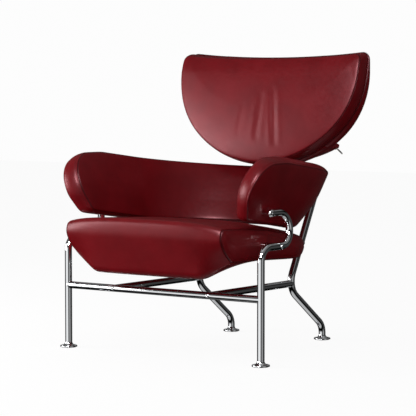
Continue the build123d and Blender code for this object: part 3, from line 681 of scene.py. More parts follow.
def unroll_wrap(back, height):
    """how far round the flat pattern a point of the side outline lies, or None past the rear"""
    radius, centre = wrap_circle(height)
    root = centre + radius * math.sin(WRAP_SPLAY)
    if back <= root:
        return ARC_LENGTH + (root - back) / (root - WRAP_FRONT) * ARM_LENGTH
    rise = (back - centre) / radius
    if rise > 1:
        return None
    return (math.pi / 2 - math.asin(rise)) / (math.pi / 2 - WRAP_SPLAY) * ARC_LENGTH


side_view = spaced(rounded(WRAP_CORNERS, WRAP_RADII), np.linspace(0, 1, OUTLINE_POINTS))
half_flat = [(unroll_wrap(back, height), height) for back, height in side_view]
behind = [k for k, (along, height) in enumerate(half_flat) if along is None]
half_loop = half_flat[: behind[0]][::-1] + half_flat[behind[-1] + 1 :][::-1]
wrap_loop = half_loop + [(-along, height) for along, height in reversed(half_loop)]
wrap_loop.append(wrap_loop[0])
print("wrap outline", len(wrap_loop), "points")

# %% [markdown]
# The outline is cut at the two lower tips and the two crests of the arms, which gives the four
# sides that the flat pad needs. After bending, the seams pull in and the padding swells, and the
# ball on each curl presses a small dent into the arm.

# %% The wrap
WRAP_COLUMNS, WRAP_ROWS = 208, 18
WRAP_TIP, WRAP_CREST = (-12.0, 512.0), (6.6, 634.4)
BALL_SPOT, BALL_DENT_WIDTH, BALL_DENT = (0.372, -0.2483, 0.498), 12.0, 5.0
tip, crest = [(unroll_wrap(*spot), spot[1]) for spot in (WRAP_TIP, WRAP_CREST)]
spots = [(-tip[0], tip[1]), tip, crest, (-crest[0], crest[1])]
counts = (WRAP_COLUMNS, WRAP_ROWS, WRAP_COLUMNS, WRAP_ROWS)
wrap_sides = [
    spaced(run, np.linspace(0, 1, count + 1))
    for run, count in zip(cut_loop(wrap_loop, spots), counts)
]
wrap_half = WRAP_THICK / 2
wrap_pad, wrap_ring = bent_pad(wrap_sides, wrap_half, wrap_half, bend_wrap, WRAP_SWELL)
for side in (1, -1):
    spot = Vector((side * BALL_SPOT[0], *BALL_SPOT[1:]))
    press(wrap_pad, spot, BALL_DENT_WIDTH, BALL_DENT)
wrap_tree = BVHTree.FromBMesh(wrap_pad)
finish_pad(wrap_pad, "arm_and_back_wrap", ("back_cover", "back_foam"))

# %% [markdown]
# A second line runs beside every seam: the stitches that hold the turned edge down. Real ones are
# three millimetres long. They are drawn at four and a half, so that they still read as thread.

# %% Stitches
STITCH_LENGTH, STITCH_PITCH, STITCH_RADIUS = 4.5, 6.5, 0.45


def stitch_row(name, line, tree):
    """a row of stitches laid along a line of points in metres, each seated on the leather"""
    line = np.array([tuple(point) for point in line])
    length = np.linalg.norm(np.diff(line, axis=0), axis=1).sum()
    count = int(length / (STITCH_PITCH * MM))
    places = spaced(line, (np.arange(count) + 0.5) / count)
    ahead = spaced(line, (np.arange(count) + 0.55) / count)
    size = Matrix.Diagonal((STITCH_LENGTH / 2, STITCH_RADIUS, STITCH_RADIUS, 1.0))
    scale = Matrix.Scale(MM, 4)
    row = bmesh.new()
    for place, target in zip(places, ahead):
        spot, normal = tree.find_nearest(Vector(place))[:2]
        way = (Vector(target) - Vector(place)).normalized()
        side = normal.cross(way).normalized()
        way = side.cross(normal)
        turn = Matrix((way, side, normal)).transposed().to_4x4()
        laid = Matrix.Translation(spot) @ turn @ scale @ size
        bmesh.ops.create_icosphere(row, subdivisions=1, radius=1.0, matrix=laid)
    make_piece(row, name, thread)


def stitch_round(name, ring, out, bend, tree):
    """a row of stitches right round a bent pad, at one place across its boxing strip"""
    stitch_row(name, [bend(*point, out) for point in (*ring, ring[0])], tree)


wrap_band = wrap_half - STITCH_INSET
for word, out in (("outer", wrap_band), ("inner", -wrap_band)):
    stitch_round(f"wrap_stitches_{word}", wrap_ring, out, bend_wrap, wrap_tree)

# %% [markdown]
# The seat is a deep D-shaped box cushion. One long panel runs from the rear over the top, rolls
# down over the nose and back under a keel, and a boxing strip goes round both sides and the rear.
# The strip's outline is drawn from the side, with its length unrolled round the D.

# %% The seat's boxing strip
SEAT_HALF, SEAT_REAR, SEAT_CORNER = 327.0, 503.0, 200.0
SEAT_ARC = SEAT_CORNER * math.pi / 2
SEAT_STRAIGHT = SEAT_HALF - SEAT_CORNER
SEAT_OVERHANG = 90.0
SEAT_TILT, SEAT_LOW_TILT = 3.0, 22.0
REAR_TOP, REAR_FOOT = 384.0, 322.0
REAR_RISE, REAR_RISE_POWER = 12.0, 3
TOP_SEAM = (
    (-95.0, 451.0),
    (20.0, 446.0),
    (153.0, 436.0),
    (273.0, 415.0),
    (400.0, 397.0),
    (503.0, 384.0),
)
BOTTOM_SEAM = ((-49.0, 339.0), (125.0, 336.0), (481.0, 322.0))
NOSE_SEAM = (
    (-49.0, 339.0),
    (-62.0, 350.0),
    (-74.0, 359.5),
    (-85.0, 371.0),
    (-95.0, 383.0),
    (-102.0, 395.0),
    (-107.5, 407.0),
    (-110.0, 418.0),
    (-110.0, 427.0),
    (-107.0, 436.0),
    (-103.0, 446.0),
    (-95.0, 451.0),
)
SIDE_CELLS, REAR_CELLS, NOSE_CELLS = 74, 56, 12
EDGE_INSETS = (0.0, 1.2, 2.6, 4.5, 7.0, 10.0, 14.0, 19.0)
SMOOTH_PASSES = 3


def smooth_line(points):
    """a line of points with its corners cut, its ends kept"""
    points = np.array(points, float)
    for _ in range(SMOOTH_PASSES):
        near = points[:-1] * 0.75 + points[1:] * 0.25
        far = points[:-1] * 0.25 + points[1:] * 0.75
        between = np.stack([near, far], axis=1).reshape(-1, points.shape[1])
        points = np.concatenate([points[:1], between, points[-1:]])
    return points


def edge_shares(length, cells):
    """shares along a length, close together at both ends and even between"""
    near = np.array(EDGE_INSETS) / length
    between = np.linspace(near[-1], 1 - near[-1], cells + 1)[1:-1]
    return np.concatenate([near, between, 1 - near[::-1]])


def seat_plan(along, lean):
    """a point of the D, from its distance round it from the rear middle"""
    run = abs(along)
    if run <= SEAT_STRAIGHT:
        across, back = run, SEAT_REAR
    elif run <= SEAT_STRAIGHT + SEAT_ARC:
        turn = (run - SEAT_STRAIGHT) / SEAT_CORNER
        across = SEAT_STRAIGHT + SEAT_CORNER * math.sin(turn)
        back = SEAT_REAR - SEAT_CORNER * (1 - math.cos(turn))
    else:
        across, back = SEAT_HALF, SEAT_REAR - SEAT_CORNER - (run - SEAT_STRAIGHT - SEAT_ARC)
    back -= lean * max(0.0, back - SEAT_REAR + SEAT_CORNER) / SEAT_CORNER
    return math.copysign(across, along), back


def bend_seat(along, height):
    """a point of the boxing strip in place, in millimetres"""
    below = max(0.0, REAR_TOP - height)
    lean = SEAT_TILT + (SEAT_LOW_TILT - SEAT_TILT) * below / (REAR_TOP - REAR_FOOT)
    across, back = seat_plan(along, min(SEAT_LOW_TILT, lean))
    return np.array((across, FRONT_LEGS_Y + back, height))


def unroll_seat(back):
    """how far round the D a point of the straight side lies"""
    return SEAT_STRAIGHT + SEAT_ARC + SEAT_REAR - SEAT_CORNER - back


def seam_height(seam, along):
    """height of a long seam at a distance round the D"""
    backs = [row[0] for row in seam]
    return float(np.interp(seat_plan(along, 0)[1], backs, [row[1] for row in seam]))


side_length = SEAT_ARC + SEAT_REAR - SEAT_CORNER + SEAT_OVERHANG
side_shares = edge_shares(side_length, SIDE_CELLS)
rear_shares = edge_shares(2 * SEAT_STRAIGHT, REAR_CELLS) * 2 - 1
nose_line = smooth_line(NOSE_SEAM)
nose_shares = edge_shares(np.linalg.norm(np.diff(nose_line, axis=0), axis=1).sum(), NOSE_CELLS)
nose_points = spaced(nose_line, nose_shares)


def long_seam(seam, front_back, rear_rise):
    """the flat points of a long seam, from the right nose round the rear to the left nose"""
    front = unroll_seat(front_back)
    right = [-front + (front - SEAT_STRAIGHT) * share for share in side_shares]
    rear = [SEAT_STRAIGHT * share for share in rear_shares]
    places = right + rear[1:-1] + [-place for place in reversed(right)]
    points = []
    for place in places:
        rise = rear_rise * max(0.0, 1 - abs(place / SEAT_STRAIGHT) ** REAR_RISE_POWER)
        points.append((place, seam_height(seam, place) + rise))
    return np.array(points)


top_line = long_seam(TOP_SEAM, NOSE_SEAM[-1][0], REAR_RISE)
bottom_line = long_seam(BOTTOM_SEAM, NOSE_SEAM[0][0], 0.0)
print("boxing strip", len(top_line), "by", len(nose_points), "points")

# %% [markdown]
# Strip and panel are grids whose rows crowd together at the seams. A grid is filled between its
# four edges, each blended with the one across from it, which keeps the rows running smoothly.

# %% Filling a grid between four edges


def edge_filled(low, high, left, right):
    """points between four edges: low and high run along, left and right run up"""
    along = np.linalg.norm(np.diff(low, axis=0), axis=1)
    up = np.linalg.norm(np.diff(left, axis=0), axis=1)
    u = np.concatenate([[0], np.cumsum(along)])[:, None, None] / along.sum()
    v = np.concatenate([[0], np.cumsum(up)])[None, :, None] / up.sum()
    low, high = np.asarray(low)[:, None], np.asarray(high)[:, None]
    left, right = np.asarray(left)[None], np.asarray(right)[None]
    across = (1 - v) * low + v * high
    upward = (1 - u) * left + u * right
    low_ends = (1 - u) * low[:1] + u * low[-1:]
    high_ends = (1 - u) * high[:1] + u * high[-1:]
    return across + upward - ((1 - v) * low_ends + v * high_ends)


def add_grid(mesh, points, panel_id):
    """adds a grid of points in millimetres to a mesh as a panel"""
    panel = mesh.verts.layers.int.get("panel") or mesh.verts.layers.int.new("panel")
    columns, rows = points.shape[0] - 1, points.shape[1] - 1
    made = bmesh.ops.create_grid(mesh, x_segments=columns, y_segments=rows, size=1.0)["verts"]
    for vert in made:
        i = round((vert.co.x + 1) / 2 * columns)
        j = round((vert.co.y + 1) / 2 * rows)
        vert.co = Vector(points[i, j]) * MM
        vert[panel] = panel_id


nose_side = np.array([(unroll_seat(back), height) for back, height in nose_points])
strip_flat = edge_filled(bottom_line, top_line, nose_side * (-1, 1), nose_side)
strip = np.array([[bend_seat(*point) for point in column] for column in strip_flat])
print("strip grid", strip.shape)

# %% [markdown]
# The panel's middle line is drawn as a side view of the seat: a shallow dish on top, the round
# nose, the sloping front, the keel and the underside. Each of its points is paired with one of the
# side seam, and the panel bulges between the two: a slow crown on top, a fuller one at the nose,
# and a flat-bottomed keel that slopes up to the seams.

# %% The seat's panel
MIDDLE_CORNERS = (
    (500.0, 396.0),
    (153.0, 451.0),
    (-114.0, 463.0),
    (-114.0, 424.0),
    (-76.0, 291.0),
    (-55.0, 289.0),
    (125.0, 336.0),
    (481.0, 322.0),
)
MIDDLE_RADII = (0, 900.0, 7.0, 70.0, 20.0, 30.0, 60.0, 0)
PAIRS = (
    ((500.0, 384.0), (500.0, 396.0)),
    ((153.0, 436.0), (153.0, 451.0)),
    ((-92.0, 451.0), (-100.0, 461.0)),
    ((-108.0, 432.0), (-114.0, 447.0)),
    ((-110.0, 416.0), (-114.0, 424.0)),
    ((-85.0, 371.0), (-95.0, 350.0)),
    ((-49.0, 339.0), (-74.0, 295.0)),
    ((-20.0, 338.5), (-50.0, 290.0)),
    ((125.0, 336.0), (125.0, 336.0)),
    ((481.0, 322.0), (481.0, 322.0)),
)
KEEL_HALF, KEEL_SOFT, KEEL_LEDGE = 217.0, 0.10, 60.0
CROWN_POWER, LEDGE_POWER = 3, 1.2
KEEL_GROWTH = (0.0, 0.7, 1.0)
MIDDLE_POINTS = 3000

side_count = len(side_shares)
seam_top = strip[-side_count:, -1]
seam_nose = strip[-1, ::-1]
seam_bottom = strip[-side_count:, 0][::-1]
side_seam = np.concatenate([seam_top, seam_nose[1:-1], seam_bottom])
middle_shares = np.linspace(0, 1, MIDDLE_POINTS)
middle_line = spaced(rounded(MIDDLE_CORNERS, MIDDLE_RADII, closed=False), middle_shares)
side_profile = side_seam[:, 1:] - np.array((FRONT_LEGS_Y, 0))
side_steps = np.linalg.norm(np.diff(side_seam, axis=0), axis=1)
side_along = np.concatenate([[0], np.cumsum(side_steps)])


def nearest(line, spot):
    """which of a line's points lies nearest to a spot"""
    return int(np.argmin(np.linalg.norm(line - np.array(spot), axis=1)))


knots_side = [side_along[nearest(side_profile, spot)] for spot, _ in PAIRS]
knots_middle = [nearest(middle_line, spot) / (MIDDLE_POINTS - 1) for _, spot in PAIRS]
knots_side[0], knots_middle[0] = 0.0, 0.0
knots_side[-1], knots_middle[-1] = side_along[-1], 1.0
paired = np.interp(side_along, knots_side, knots_middle)
middle = np.stack([np.interp(paired, middle_shares, middle_line[:, k]) for k in (0, 1)], axis=1)
print("seat profile", len(middle), "points, each paired with one of the seam")

# %% [markdown]
# Each row of the panel runs from side to side. Its crown rises from the seam to the middle line,
# and the keel takes over from it along the sloping front, between the fifth and the seventh pair.

# %% The panel's rows
rows = []
for spot, (back, height), along in zip(side_seam, middle, side_along):
    centre = np.array((0.0, FRONT_LEGS_Y + back, height))
    keel = np.interp(along, knots_side[4:7], KEEL_GROWTH)
    row = []
    for share in rear_shares:
        across = abs(share) * spot[0]
        crown = abs(share) ** CROWN_POWER
        ledge = share**2
        if spot[0] > KEEL_HALF + KEEL_LEDGE:
            past = max(0.0, across - KEEL_HALF) / max(KEEL_LEDGE, spot[0] - KEEL_HALF)
            past = math.hypot(past, KEEL_SOFT) - KEEL_SOFT
            past /= math.hypot(1.0, KEEL_SOFT) - KEEL_SOFT
            ledge = 1 - (1 - min(1.0, past)) ** LEDGE_POWER
        weight = (1 - keel) * crown + keel * ledge
        point = centre + (spot - centre) * weight
        point[0] = share * spot[0]
        row.append(point)
    rows.append(row)
panel_grid = np.array(rows)
print("panel grid", panel_grid.shape)

# %% [markdown]
# The strip and the panel are sewn together along their shared edge, which leaves no edge open. The
# cushion is then upholstered as the wrap was, and its rows of stitches follow the strip's own rows.

# %% The seat
SEAT_MERGE_GAP = 0.2
seat_pad = bmesh.new()
add_grid(seat_pad, strip, BAND)
add_grid(seat_pad, panel_grid, FACE)
bmesh.ops.remove_doubles(seat_pad, verts=seat_pad.verts, dist=SEAT_MERGE_GAP * MM)
bmesh.ops.recalc_face_normals(seat_pad, faces=seat_pad.faces)
print("seat open edges", sum(edge.is_boundary for edge in seat_pad.edges))
mirrored_seam = side_seam[::-1] * (-1, 1, 1)
seat_loop = np.concatenate([side_seam, panel_grid[-1, ::-1], mirrored_seam, panel_grid[0]])
seat_seams = [Vector(point) * MM for point in dense(seat_loop, share=4)]
upholster(seat_pad, seat_seams, SEAT_SWELL)
seat_tree = BVHTree.FromBMesh(seat_pad)
finish_pad(seat_pad, "seat_cushion", ("seat_cover", "seat_foam"))

inset_row = int(np.argmin(np.abs(np.array(EDGE_INSETS) - STITCH_INSET)))
seat_lines = {
    "top": strip[inset_row:-inset_row, -1 - inset_row],
    "bottom": strip[inset_row:-inset_row, inset_row],
    "nose_right": strip[inset_row, inset_row:-inset_row],
    "nose_left": strip[-1 - inset_row, inset_row:-inset_row],
}
for word, line in seat_lines.items():
    stitch_row(f"seat_stitches_{word}", [Vector(point) * MM for point in line], seat_tree)

# %% [markdown]
# The headrest's front cushion is a half moon that leans back. Its outline is three tangent arcs
# below two short upright sides, with a top edge that sags a little. The flat pad is made in the
# plane of the cushion, then crowned, rolled back along the top and leaned into place.

# %% The headrest's outline
HEAD_HALF, HEAD_DEPTH, HEAD_TOP = 387.0, 334.0, 67.0
HEAD_SIDE_RADIUS, HEAD_CORNER, HEAD_SAG = 300.0, 24.0, 47.0
HEAD_BACK, HEAD_HEIGHT, HEAD_LEAN = 628.0, 967.0, math.radians(10.2)
HEAD_THICK, HEAD_CROWN = 60.0, 12.0
HEAD_ROLL, HEAD_ROLL_DEPTH, HEAD_ROLL_START = 10.0, 65.0, 0.1
EAR_RISE, EAR_START, EAR_POWER = 18.0, 322.0, 1.2
ARC_POINTS, MOON_POINTS, SAME_SPOT, CORNER_CLEAR = 120, 1200, 0.01, 1.2
HEAD_CREASE_OUT, HEAD_CREASE_WIDTH = 19.0, 10.0
HEAD_CREASES = (
    ((4.0, -78.0), (-10.0, -258.0), 2.4),
    ((50.0, -62.0), (76.0, -276.0), 3.1),
    ((-70.0, -110.0), (-92.0, -245.0), 0.7),
)


def half_moon(inset):
    """the outline, anticlockwise from the lowest point, as a closed path"""
    reach = HEAD_HALF - HEAD_SIDE_RADIUS
    spread = reach**2 + HEAD_DEPTH**2 - HEAD_SIDE_RADIUS**2
    low_radius = spread / (2 * (HEAD_DEPTH - HEAD_SIDE_RADIUS))
    gap = low_radius - HEAD_SIDE_RADIUS
    low_arc = [
        (low_radius * math.sin(t), low_radius - HEAD_DEPTH - low_radius * math.cos(t))
        for t in np.linspace(0, math.asin(reach / gap), ARC_POINTS)
    ]
    side_arc = [
        (reach + HEAD_SIDE_RADIUS * math.sin(t), -HEAD_SIDE_RADIUS * math.cos(t))
        for t in np.linspace(math.asin(reach / gap), math.pi / 2, ARC_POINTS)
    ]
    sag_half = (HEAD_HALF**2 + (HEAD_TOP - HEAD_SAG) ** 2) / (2 * (HEAD_TOP - HEAD_SAG))
    top_arc = [
        (sag_half * math.sin(t), HEAD_SAG + sag_half * (1 - math.cos(t)))
        for t in np.linspace(math.asin(HEAD_HALF / sag_half), 0, ARC_POINTS)
    ]
    half = np.array(low_arc + side_arc[1:] + [(HEAD_HALF, HEAD_TOP)] + top_arc[1:])
    full = np.concatenate([half, half[::-1] * (-1, 1)])
    full = full[np.linalg.norm(full - np.roll(full, 1, axis=0), axis=1) > SAME_SPOT]
    gaps = [near_corner(point) for point in full]
    radii = [HEAD_CORNER if gap < SAME_SPOT else 0.0 for gap in gaps]
    keep = [k for k, gap in enumerate(gaps) if radii[k] or gap > CORNER_CLEAR * HEAD_CORNER]
    path = rounded(full[keep], [radii[k] for k in keep])
    return drawn_in(path, inset)


def near_corner(point):
    """how far a point lies from the nearer top corner"""
    return math.hypot(HEAD_HALF - abs(point[0]), HEAD_TOP - point[1])


def drawn_in(path, inset):
    """a closed anticlockwise path moved inwards"""
    loop = spaced(path, np.linspace(0, 1, MOON_POINTS + 1))[:-1]
    moved = loop + inward_ways(loop) * inset
    return np.concatenate([moved, moved[:1]])


def lean_head(across, up, out):
    """a point of the cushion's plane, leaned into place, in metres"""
    back = HEAD_BACK + up * math.sin(HEAD_LEAN) - out * math.cos(HEAD_LEAN)
    height = HEAD_HEIGHT + up * math.cos(HEAD_LEAN) + out * math.sin(HEAD_LEAN)
    return Vector((across, FRONT_LEGS_Y + back, height)) * MM


def head_front(across, up):
    """how far in front of the plane the cushion's front seam lies"""
    far = (across**2 + (up - (HEAD_TOP - HEAD_DEPTH) / 2) ** 2) / HEAD_HALF**2
    rolled = min(1.0, max(0.0, up / HEAD_ROLL_DEPTH + HEAD_ROLL_START))
    return HEAD_CROWN * max(0.0, 1 - far) - HEAD_ROLL * rolled**2


# %% [markdown]
# The cushion is cut into four sides at its two upper corners and at two places low on the arc. Its
# top corners rise behind like small ears, and a few soft folds run down its face.

# %% The headrest's front cushion
HEAD_COLUMNS, HEAD_ROWS = 84, 48
CORNER_SPOT = 7
LOW_CUT, CORNER_CUT = (236.0, -240.0), (HEAD_HALF - CORNER_SPOT, HEAD_TOP - CORNER_SPOT)
head_spots = [(-LOW_CUT[0], LOW_CUT[1]), LOW_CUT, CORNER_CUT, (-CORNER_CUT[0], CORNER_CUT[1])]
head_counts = (HEAD_COLUMNS, HEAD_ROWS, HEAD_COLUMNS, HEAD_ROWS)


def moon_sides(inset):
    """the half moon's outline cut into the four sides of a flat pad"""
    runs = cut_loop(half_moon(inset), head_spots)
    return [spaced(run, np.linspace(0, 1, count + 1)) for run, count in zip(runs, head_counts)]


def head_point(across, up, out):
    """a flat pad's point, out from -1 at the rear to 1 in front, in place"""
    front, rear = head_front(across, up), -HEAD_THICK
    ear = max(0.0, (abs(across) - EAR_START) / (HEAD_HALF - EAR_START))
    rise = max(0.0, up / HEAD_TOP) * EAR_RISE * ear**EAR_POWER
    return lean_head(across, up + rise * (1 - out) / 2, rear + (front - rear) * (out + 1) / 2)


head_pad, head_ring = bent_pad(moon_sides(0), 1.0, HEAD_THICK / 2, head_point, HEAD_SWELL)
for start, end, depth in HEAD_CREASES:
    ends = [lean_head(*spot, HEAD_CREASE_OUT) for spot in (start, end)]
    crease(head_pad, *ends, HEAD_CREASE_WIDTH, depth)
head_tree = BVHTree.FromBMesh(head_pad)
finish_pad(head_pad, "headrest_cushion", ("headrest_cover", "headrest_foam"))
head_band = 1 - 2 * STITCH_INSET / HEAD_THICK
stitch_round("headrest_stitches", head_ring, head_band, head_point, head_tree)

# %% [markdown]
# Behind the cushion sits the headrest's rear body, a wedge that thickens downwards to take the two
# tubes. Its rear panel is upright. Its outline is drawn a little larger than the cushion's, because
# the seams pull it in.

# %% The headrest's rear body
BODY_INSET, BODY_HEIGHT, BODY_REAR = -5.0, 966.0, 704.0


def body_point(across, up, out):
    """a flat pad's point between the cushion's rear and the body's rear panel"""
    height = BODY_HEIGHT + up
    slope = (height - HEAD_HEIGHT) * math.tan(HEAD_LEAN)
    front = HEAD_BACK + slope + HEAD_THICK / math.cos(HEAD_LEAN)
    back = BODY_REAR + (front - BODY_REAR) * (out + 1) / 2
    return Vector((across, FRONT_LEGS_Y + back, height)) * MM


body_sides = moon_sides(BODY_INSET)
body_pad, body_ring = bent_pad(body_sides, 1.0, HEAD_THICK / 2, body_point, BODY_SWELL)
body_tree = BVHTree.FromBMesh(body_pad)
print("rear body", len(body_pad.faces), "faces")

# %% [markdown]
# Under the body hangs a crescent lip, thick in the middle and pointed at its ends, where the cover
# closes with a zip. Its section is spun about the centre of the zip's arc and cut off above by the
# slope that leads up to the rear panel, and in front by the cushion.

# %% The crescent lip
LIP_CENTRE, LIP_RADIUS, LIP_ANGLE = 1169.0, 533.5, math.radians(27.0)
LIP_FRONT, LIP_REAR, LIP_CHAMFER = 640.0, 748.0, 11.0
LIP_ROOT, LIP_BROW = 722.0, 703.0
LIP_STEPS, LIP_SPARE = 72, 10.0
LIP_SOFT, LIP_SHARP = 2.0, math.radians(30)
lip = bmesh.new()
section = [
    (LIP_FRONT, LIP_RADIUS),
    (LIP_REAR - LIP_CHAMFER, LIP_RADIUS),
    (LIP_REAR, LIP_RADIUS - LIP_CHAMFER),
    (LIP_REAR, LIP_CENTRE - LIP_ROOT - LIP_SPARE),
    (LIP_FRONT, LIP_CENTRE - LIP_ROOT - LIP_SPARE),
]
start = [
    lip.verts.new(Vector((0.0, FRONT_LEGS_Y + back, LIP_CENTRE - below)) * MM)
    for back, below in section
]
face = lip.faces.new(start)
hub = Vector((0.0, 0.0, LIP_CENTRE)) * MM
bmesh.ops.rotate(lip, verts=lip.verts, cent=hub, matrix=Matrix.Rotation(-LIP_ANGLE, 3, "Y"))
bmesh.ops.spin(
    lip,
    geom=[face, *face.edges, *face.verts],
    cent=hub,
    axis=(0, 1, 0),
    angle=2 * LIP_ANGLE,
    steps=LIP_STEPS,
)
brow = math.atan2(LIP_ROOT - LIP_BROW, LIP_REAR - BODY_REAR)
above = Vector((0, math.sin(brow), math.cos(brow)))
in_front = Vector((0, -math.cos(HEAD_LEAN), math.sin(HEAD_LEAN)))
cuts = (
    (Vector((0, FRONT_LEGS_Y + LIP_REAR, LIP_BROW)) * MM, above),
    (lean_head(0, 0, -HEAD_THICK), in_front),
)
for spot, way in cuts:
    whole = [*lip.verts, *lip.edges, *lip.faces]
    cut = bmesh.ops.bisect_plane(lip, geom=whole, plane_co=spot, plane_no=way, clear_outer=True)
    rim = [g for g in cut["geom_cut"] if isinstance(g, bmesh.types.BMEdge)]
    bmesh.ops.contextual_create(lip, geom=rim)
bmesh.ops.remove_doubles(lip, verts=lip.verts, dist=MERGE_GAP * MM)
bmesh.ops.recalc_face_normals(lip, faces=lip.faces)
print("lip open edges", sum(edge.is_boundary for edge in lip.edges))

# %% [markdown]
# The wedge and the lip are sewn into one cover, so they make one piece. The lip's edges are only
# softened, because the leather folds tightly there.

# %% The rear body and its lip
whole_edges = [edge for edge in lip.edges if edge.is_manifold]
lip_edges = [edge for edge in whole_edges if edge.calc_face_angle(0) > LIP_SHARP]
bmesh.ops.bevel(
    lip,
    geom=lip_edges,
    offset=LIP_SOFT * MM,
    offset_type="OFFSET",
    affect="EDGES",
    segments=3,
    profile=0.5,
    material=-1,
)
bmesh.ops.recalc_face_normals(lip, faces=lip.faces)
lip_data = bpy.data.meshes.new("lip_blank")
lip.to_mesh(lip_data)
lip.free()
body_pad.from_mesh(lip_data)
bpy.data.meshes.remove(lip_data)
body_nodes = ("headrest_body_cover", "headrest_body_foam")
finish_pad(body_pad, "headrest_rear_body", body_nodes)
stitch_round("headrest_body_stitches", body_ring, -head_band, body_point, body_tree)

# %% [markdown]
# A studio for polished metal is mostly what the metal mirrors: broad white walls and, between
# them, dark flags that draw the black lines along a tube. Here the world itself carries those
# sectors, for mirror rays only. The leather is lit by a plain even level, and the camera sees
# white.

# %% Studio
AMBIENT = ((-90, 0.36), (0, 0.54), (25, 0.6), (60, 0.38), (90, 0.32))
HEADINGS = (
    (-180, 0.05), (-150, 0.05), (-144, 0.4), (-132, 0.4), (-126, 0.04), (-56, 0.04), (-48, 0.95),
    (-40, 1.0), (22, 1.0), (29, 0.05), (56, 0.05), (64, 0.4), (94, 0.4), (102, 0.05), (180, 0.05),
)
HEIGHTS = (
    (-90, 0.55), (-62, 0.55), (-50, 0.0), (20, 0.0), (38, 0.22), (50, 0.1), (64, 0.42), (90, 0.42),
)
PANEL_HEIGHTS = ((-90, 0.0), (-30, 0.0), (-14, 1.0), (8, 1.0), (16, 0.0), (90, 0.0))
world = bpy.data.worlds.new("studio")
world.use_nodes = True
scene.world = world
sky = world.node_tree
sky.nodes.clear()
ray = add_node(sky, "LightPath")
where = add_node(sky, "TexCoord").outputs["Generated"]
split_way = add_node(sky, "SeparateXYZ", links={"Vector": where})
to_front = add_node(sky, "Math", {"operation": "MULTIPLY", 1: -1.0}, {0: split_way.outputs["Y"]})
heading = add_node(
    sky, "Math", {"operation": "ARCTAN2"}, {0: split_way.outputs["X"], 1: to_front.outputs[0]}
)
rise = add_node(sky, "Math", {"operation": "ARCSINE"}, {0: split_way.outputs["Z"]})

# %% [markdown]
# The sectors are ramps of grey levels over an angle, either round the chair or up from the horizon.
# Their stops are written in degrees.

# %% The studio's levels
levels = {}
for word, angle, stops, span in (
    ("flags", heading, HEADINGS, 180),
    ("heights", rise, HEIGHTS, 90),
    ("panels", rise, PANEL_HEIGHTS, 90),
    ("ambient", rise, AMBIENT, 90),
):
    share = add_node(
        sky,
        "MapRange",
        {"From Min": -math.radians(span), "From Max": math.radians(span)},
        {"Value": angle.outputs[0]},
    )
    greys = [((degrees + span) / (2 * span), (*[level] * 3, 1.0)) for degrees, level in stops]
    level_ramp = add_node(sky, "ValToRGB", {"stops": greys}, {"Fac": share.outputs["Result"]})
    levels[word] = level_ramp.outputs["Color"]
mirrored = add_node(
    sky,
    "Math",
    {"operation": "MULTIPLY_ADD"},
    {0: levels["flags"], 1: levels["panels"], 2: levels["heights"]},
)
plain = add_node(sky, "Background", {"Strength": 1.0}, {"Color": levels["ambient"]})
mirror_sky = add_node(sky, "Background", {"Strength": 1.0}, {"Color": mirrored.outputs[0]})
white_sky = add_node(sky, "Background", {"Color": linear("#FFFFFF"), "Strength": 0.98})
by_mirror = add_node(
    sky,
    "MixShader",
    links={0: ray.outputs["Is Glossy Ray"], 1: plain.outputs[0], 2: mirror_sky.outputs[0]},
)
by_camera = add_node(
    sky,
    "MixShader",
    links={0: ray.outputs["Is Camera Ray"], 1: by_mirror.outputs[0], 2: white_sky.outputs[0]},
)
add_node(sky, "OutputWorld", links={"Surface": by_camera.outputs[0]})
print("studio levels", ", ".join(levels))

# %% [markdown]
# One large soft lamp on the camera's left shapes the leather, and a weak one high in front lifts
# its edges. A third, beside the second, adds to the sheen alone.

# %% The lamps
LAMPS_AIM = Vector((0.0, 0.0, 0.5))


def soft_lamp(name, azimuth, elevation, distance, width, height, watts, sheen_only=False):
    """a softbox that looks at the chair; one for the sheen alone adds no light to the dye"""
    light = bpy.data.lights.new(name, "AREA")
    light.shape = "RECTANGLE"
    light.size, light.size_y = width, height
    light.energy = watts
    lamp = bpy.data.objects.new(name, light)
    scene.collection.objects.link(lamp)
    way = look_from(azimuth, elevation)
    lamp.location = LAMPS_AIM + way * distance
    lamp.rotation_mode = "QUATERNION"
    lamp.rotation_quaternion = (-way).to_track_quat("-Z", "Y")
    lamp.visible_diffuse = not sheen_only


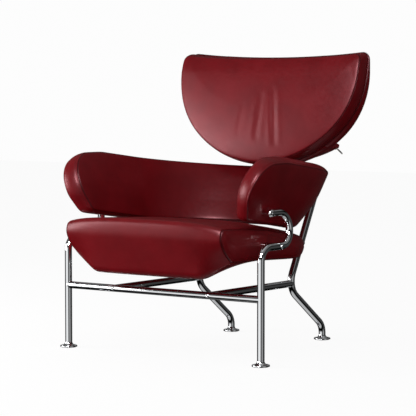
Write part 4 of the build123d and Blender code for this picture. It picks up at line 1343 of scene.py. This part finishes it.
soft_lamp("key", -54.0, 6.0, 3.4, 2.1, 1.2, 84.0)
soft_lamp("edge", 14.0, 34.0, 3.6, 1.0, 1.0, 14.0)
soft_lamp("back_sheen", 16.0, 33.0, 3.4, 1.3, 1.2, 170.0, sheen_only=True)
print("lamps", [light.name for light in bpy.data.lights])

# %% [markdown]
# The floor is plain white and keeps only the soft shadow of the chair. All but the camera see it
# grey, so that it throws less light up on the leather. Mirrors look through it to the panels of
# the studio, which go on below the horizon.

# %% Floor
FLOOR_HALF, FLOOR_GLOW, FLOOR_GLOW_SHARE = 12.0, 1.02, 0.89
FLOOR_BOUNCE, FLOOR_WHITE = "#868686", "#FFFFFF"
floor_white, floor_tree, floor_shader = new_material("matt_white_floor")
floor_ray = add_node(floor_tree, "LightPath")
floor_tint = add_node(
    floor_tree,
    "Mix",
    {"data_type": "RGBA", 6: linear(FLOOR_BOUNCE), 7: linear(FLOOR_WHITE)},
    {0: floor_ray.outputs["Is Camera Ray"]},
)
set_node(
    floor_tree,
    floor_shader,
    {"Roughness": 0.9, "Specular IOR Level": 0.0},
    {"Base Color": floor_tint.outputs[2]},
)
glow = add_node(floor_tree, "Emission", {"Color": linear(FLOOR_WHITE), "Strength": FLOOR_GLOW})
lit_share = add_node(
    floor_tree,
    "Math",
    {"operation": "MULTIPLY", 1: FLOOR_GLOW_SHARE},
    {0: floor_ray.outputs["Is Camera Ray"]},
)
floor_mix = add_node(
    floor_tree,
    "MixShader",
    links={0: lit_share.outputs[0], 1: floor_shader.outputs[0], 2: glow.outputs[0]},
)
clear = add_node(floor_tree, "BsdfTransparent")
floor_seen = add_node(
    floor_tree,
    "MixShader",
    links={0: floor_ray.outputs["Is Glossy Ray"], 1: floor_mix.outputs[0], 2: clear.outputs[0]},
)
floor_out = floor_tree.nodes["Material Output"]
set_node(floor_tree, floor_out, links={"Surface": floor_seen.outputs[0]})

floor = bmesh.new()
bmesh.ops.create_grid(floor, x_segments=2, y_segments=2, size=FLOOR_HALF)
place_mesh(floor, "floor", floor_white)
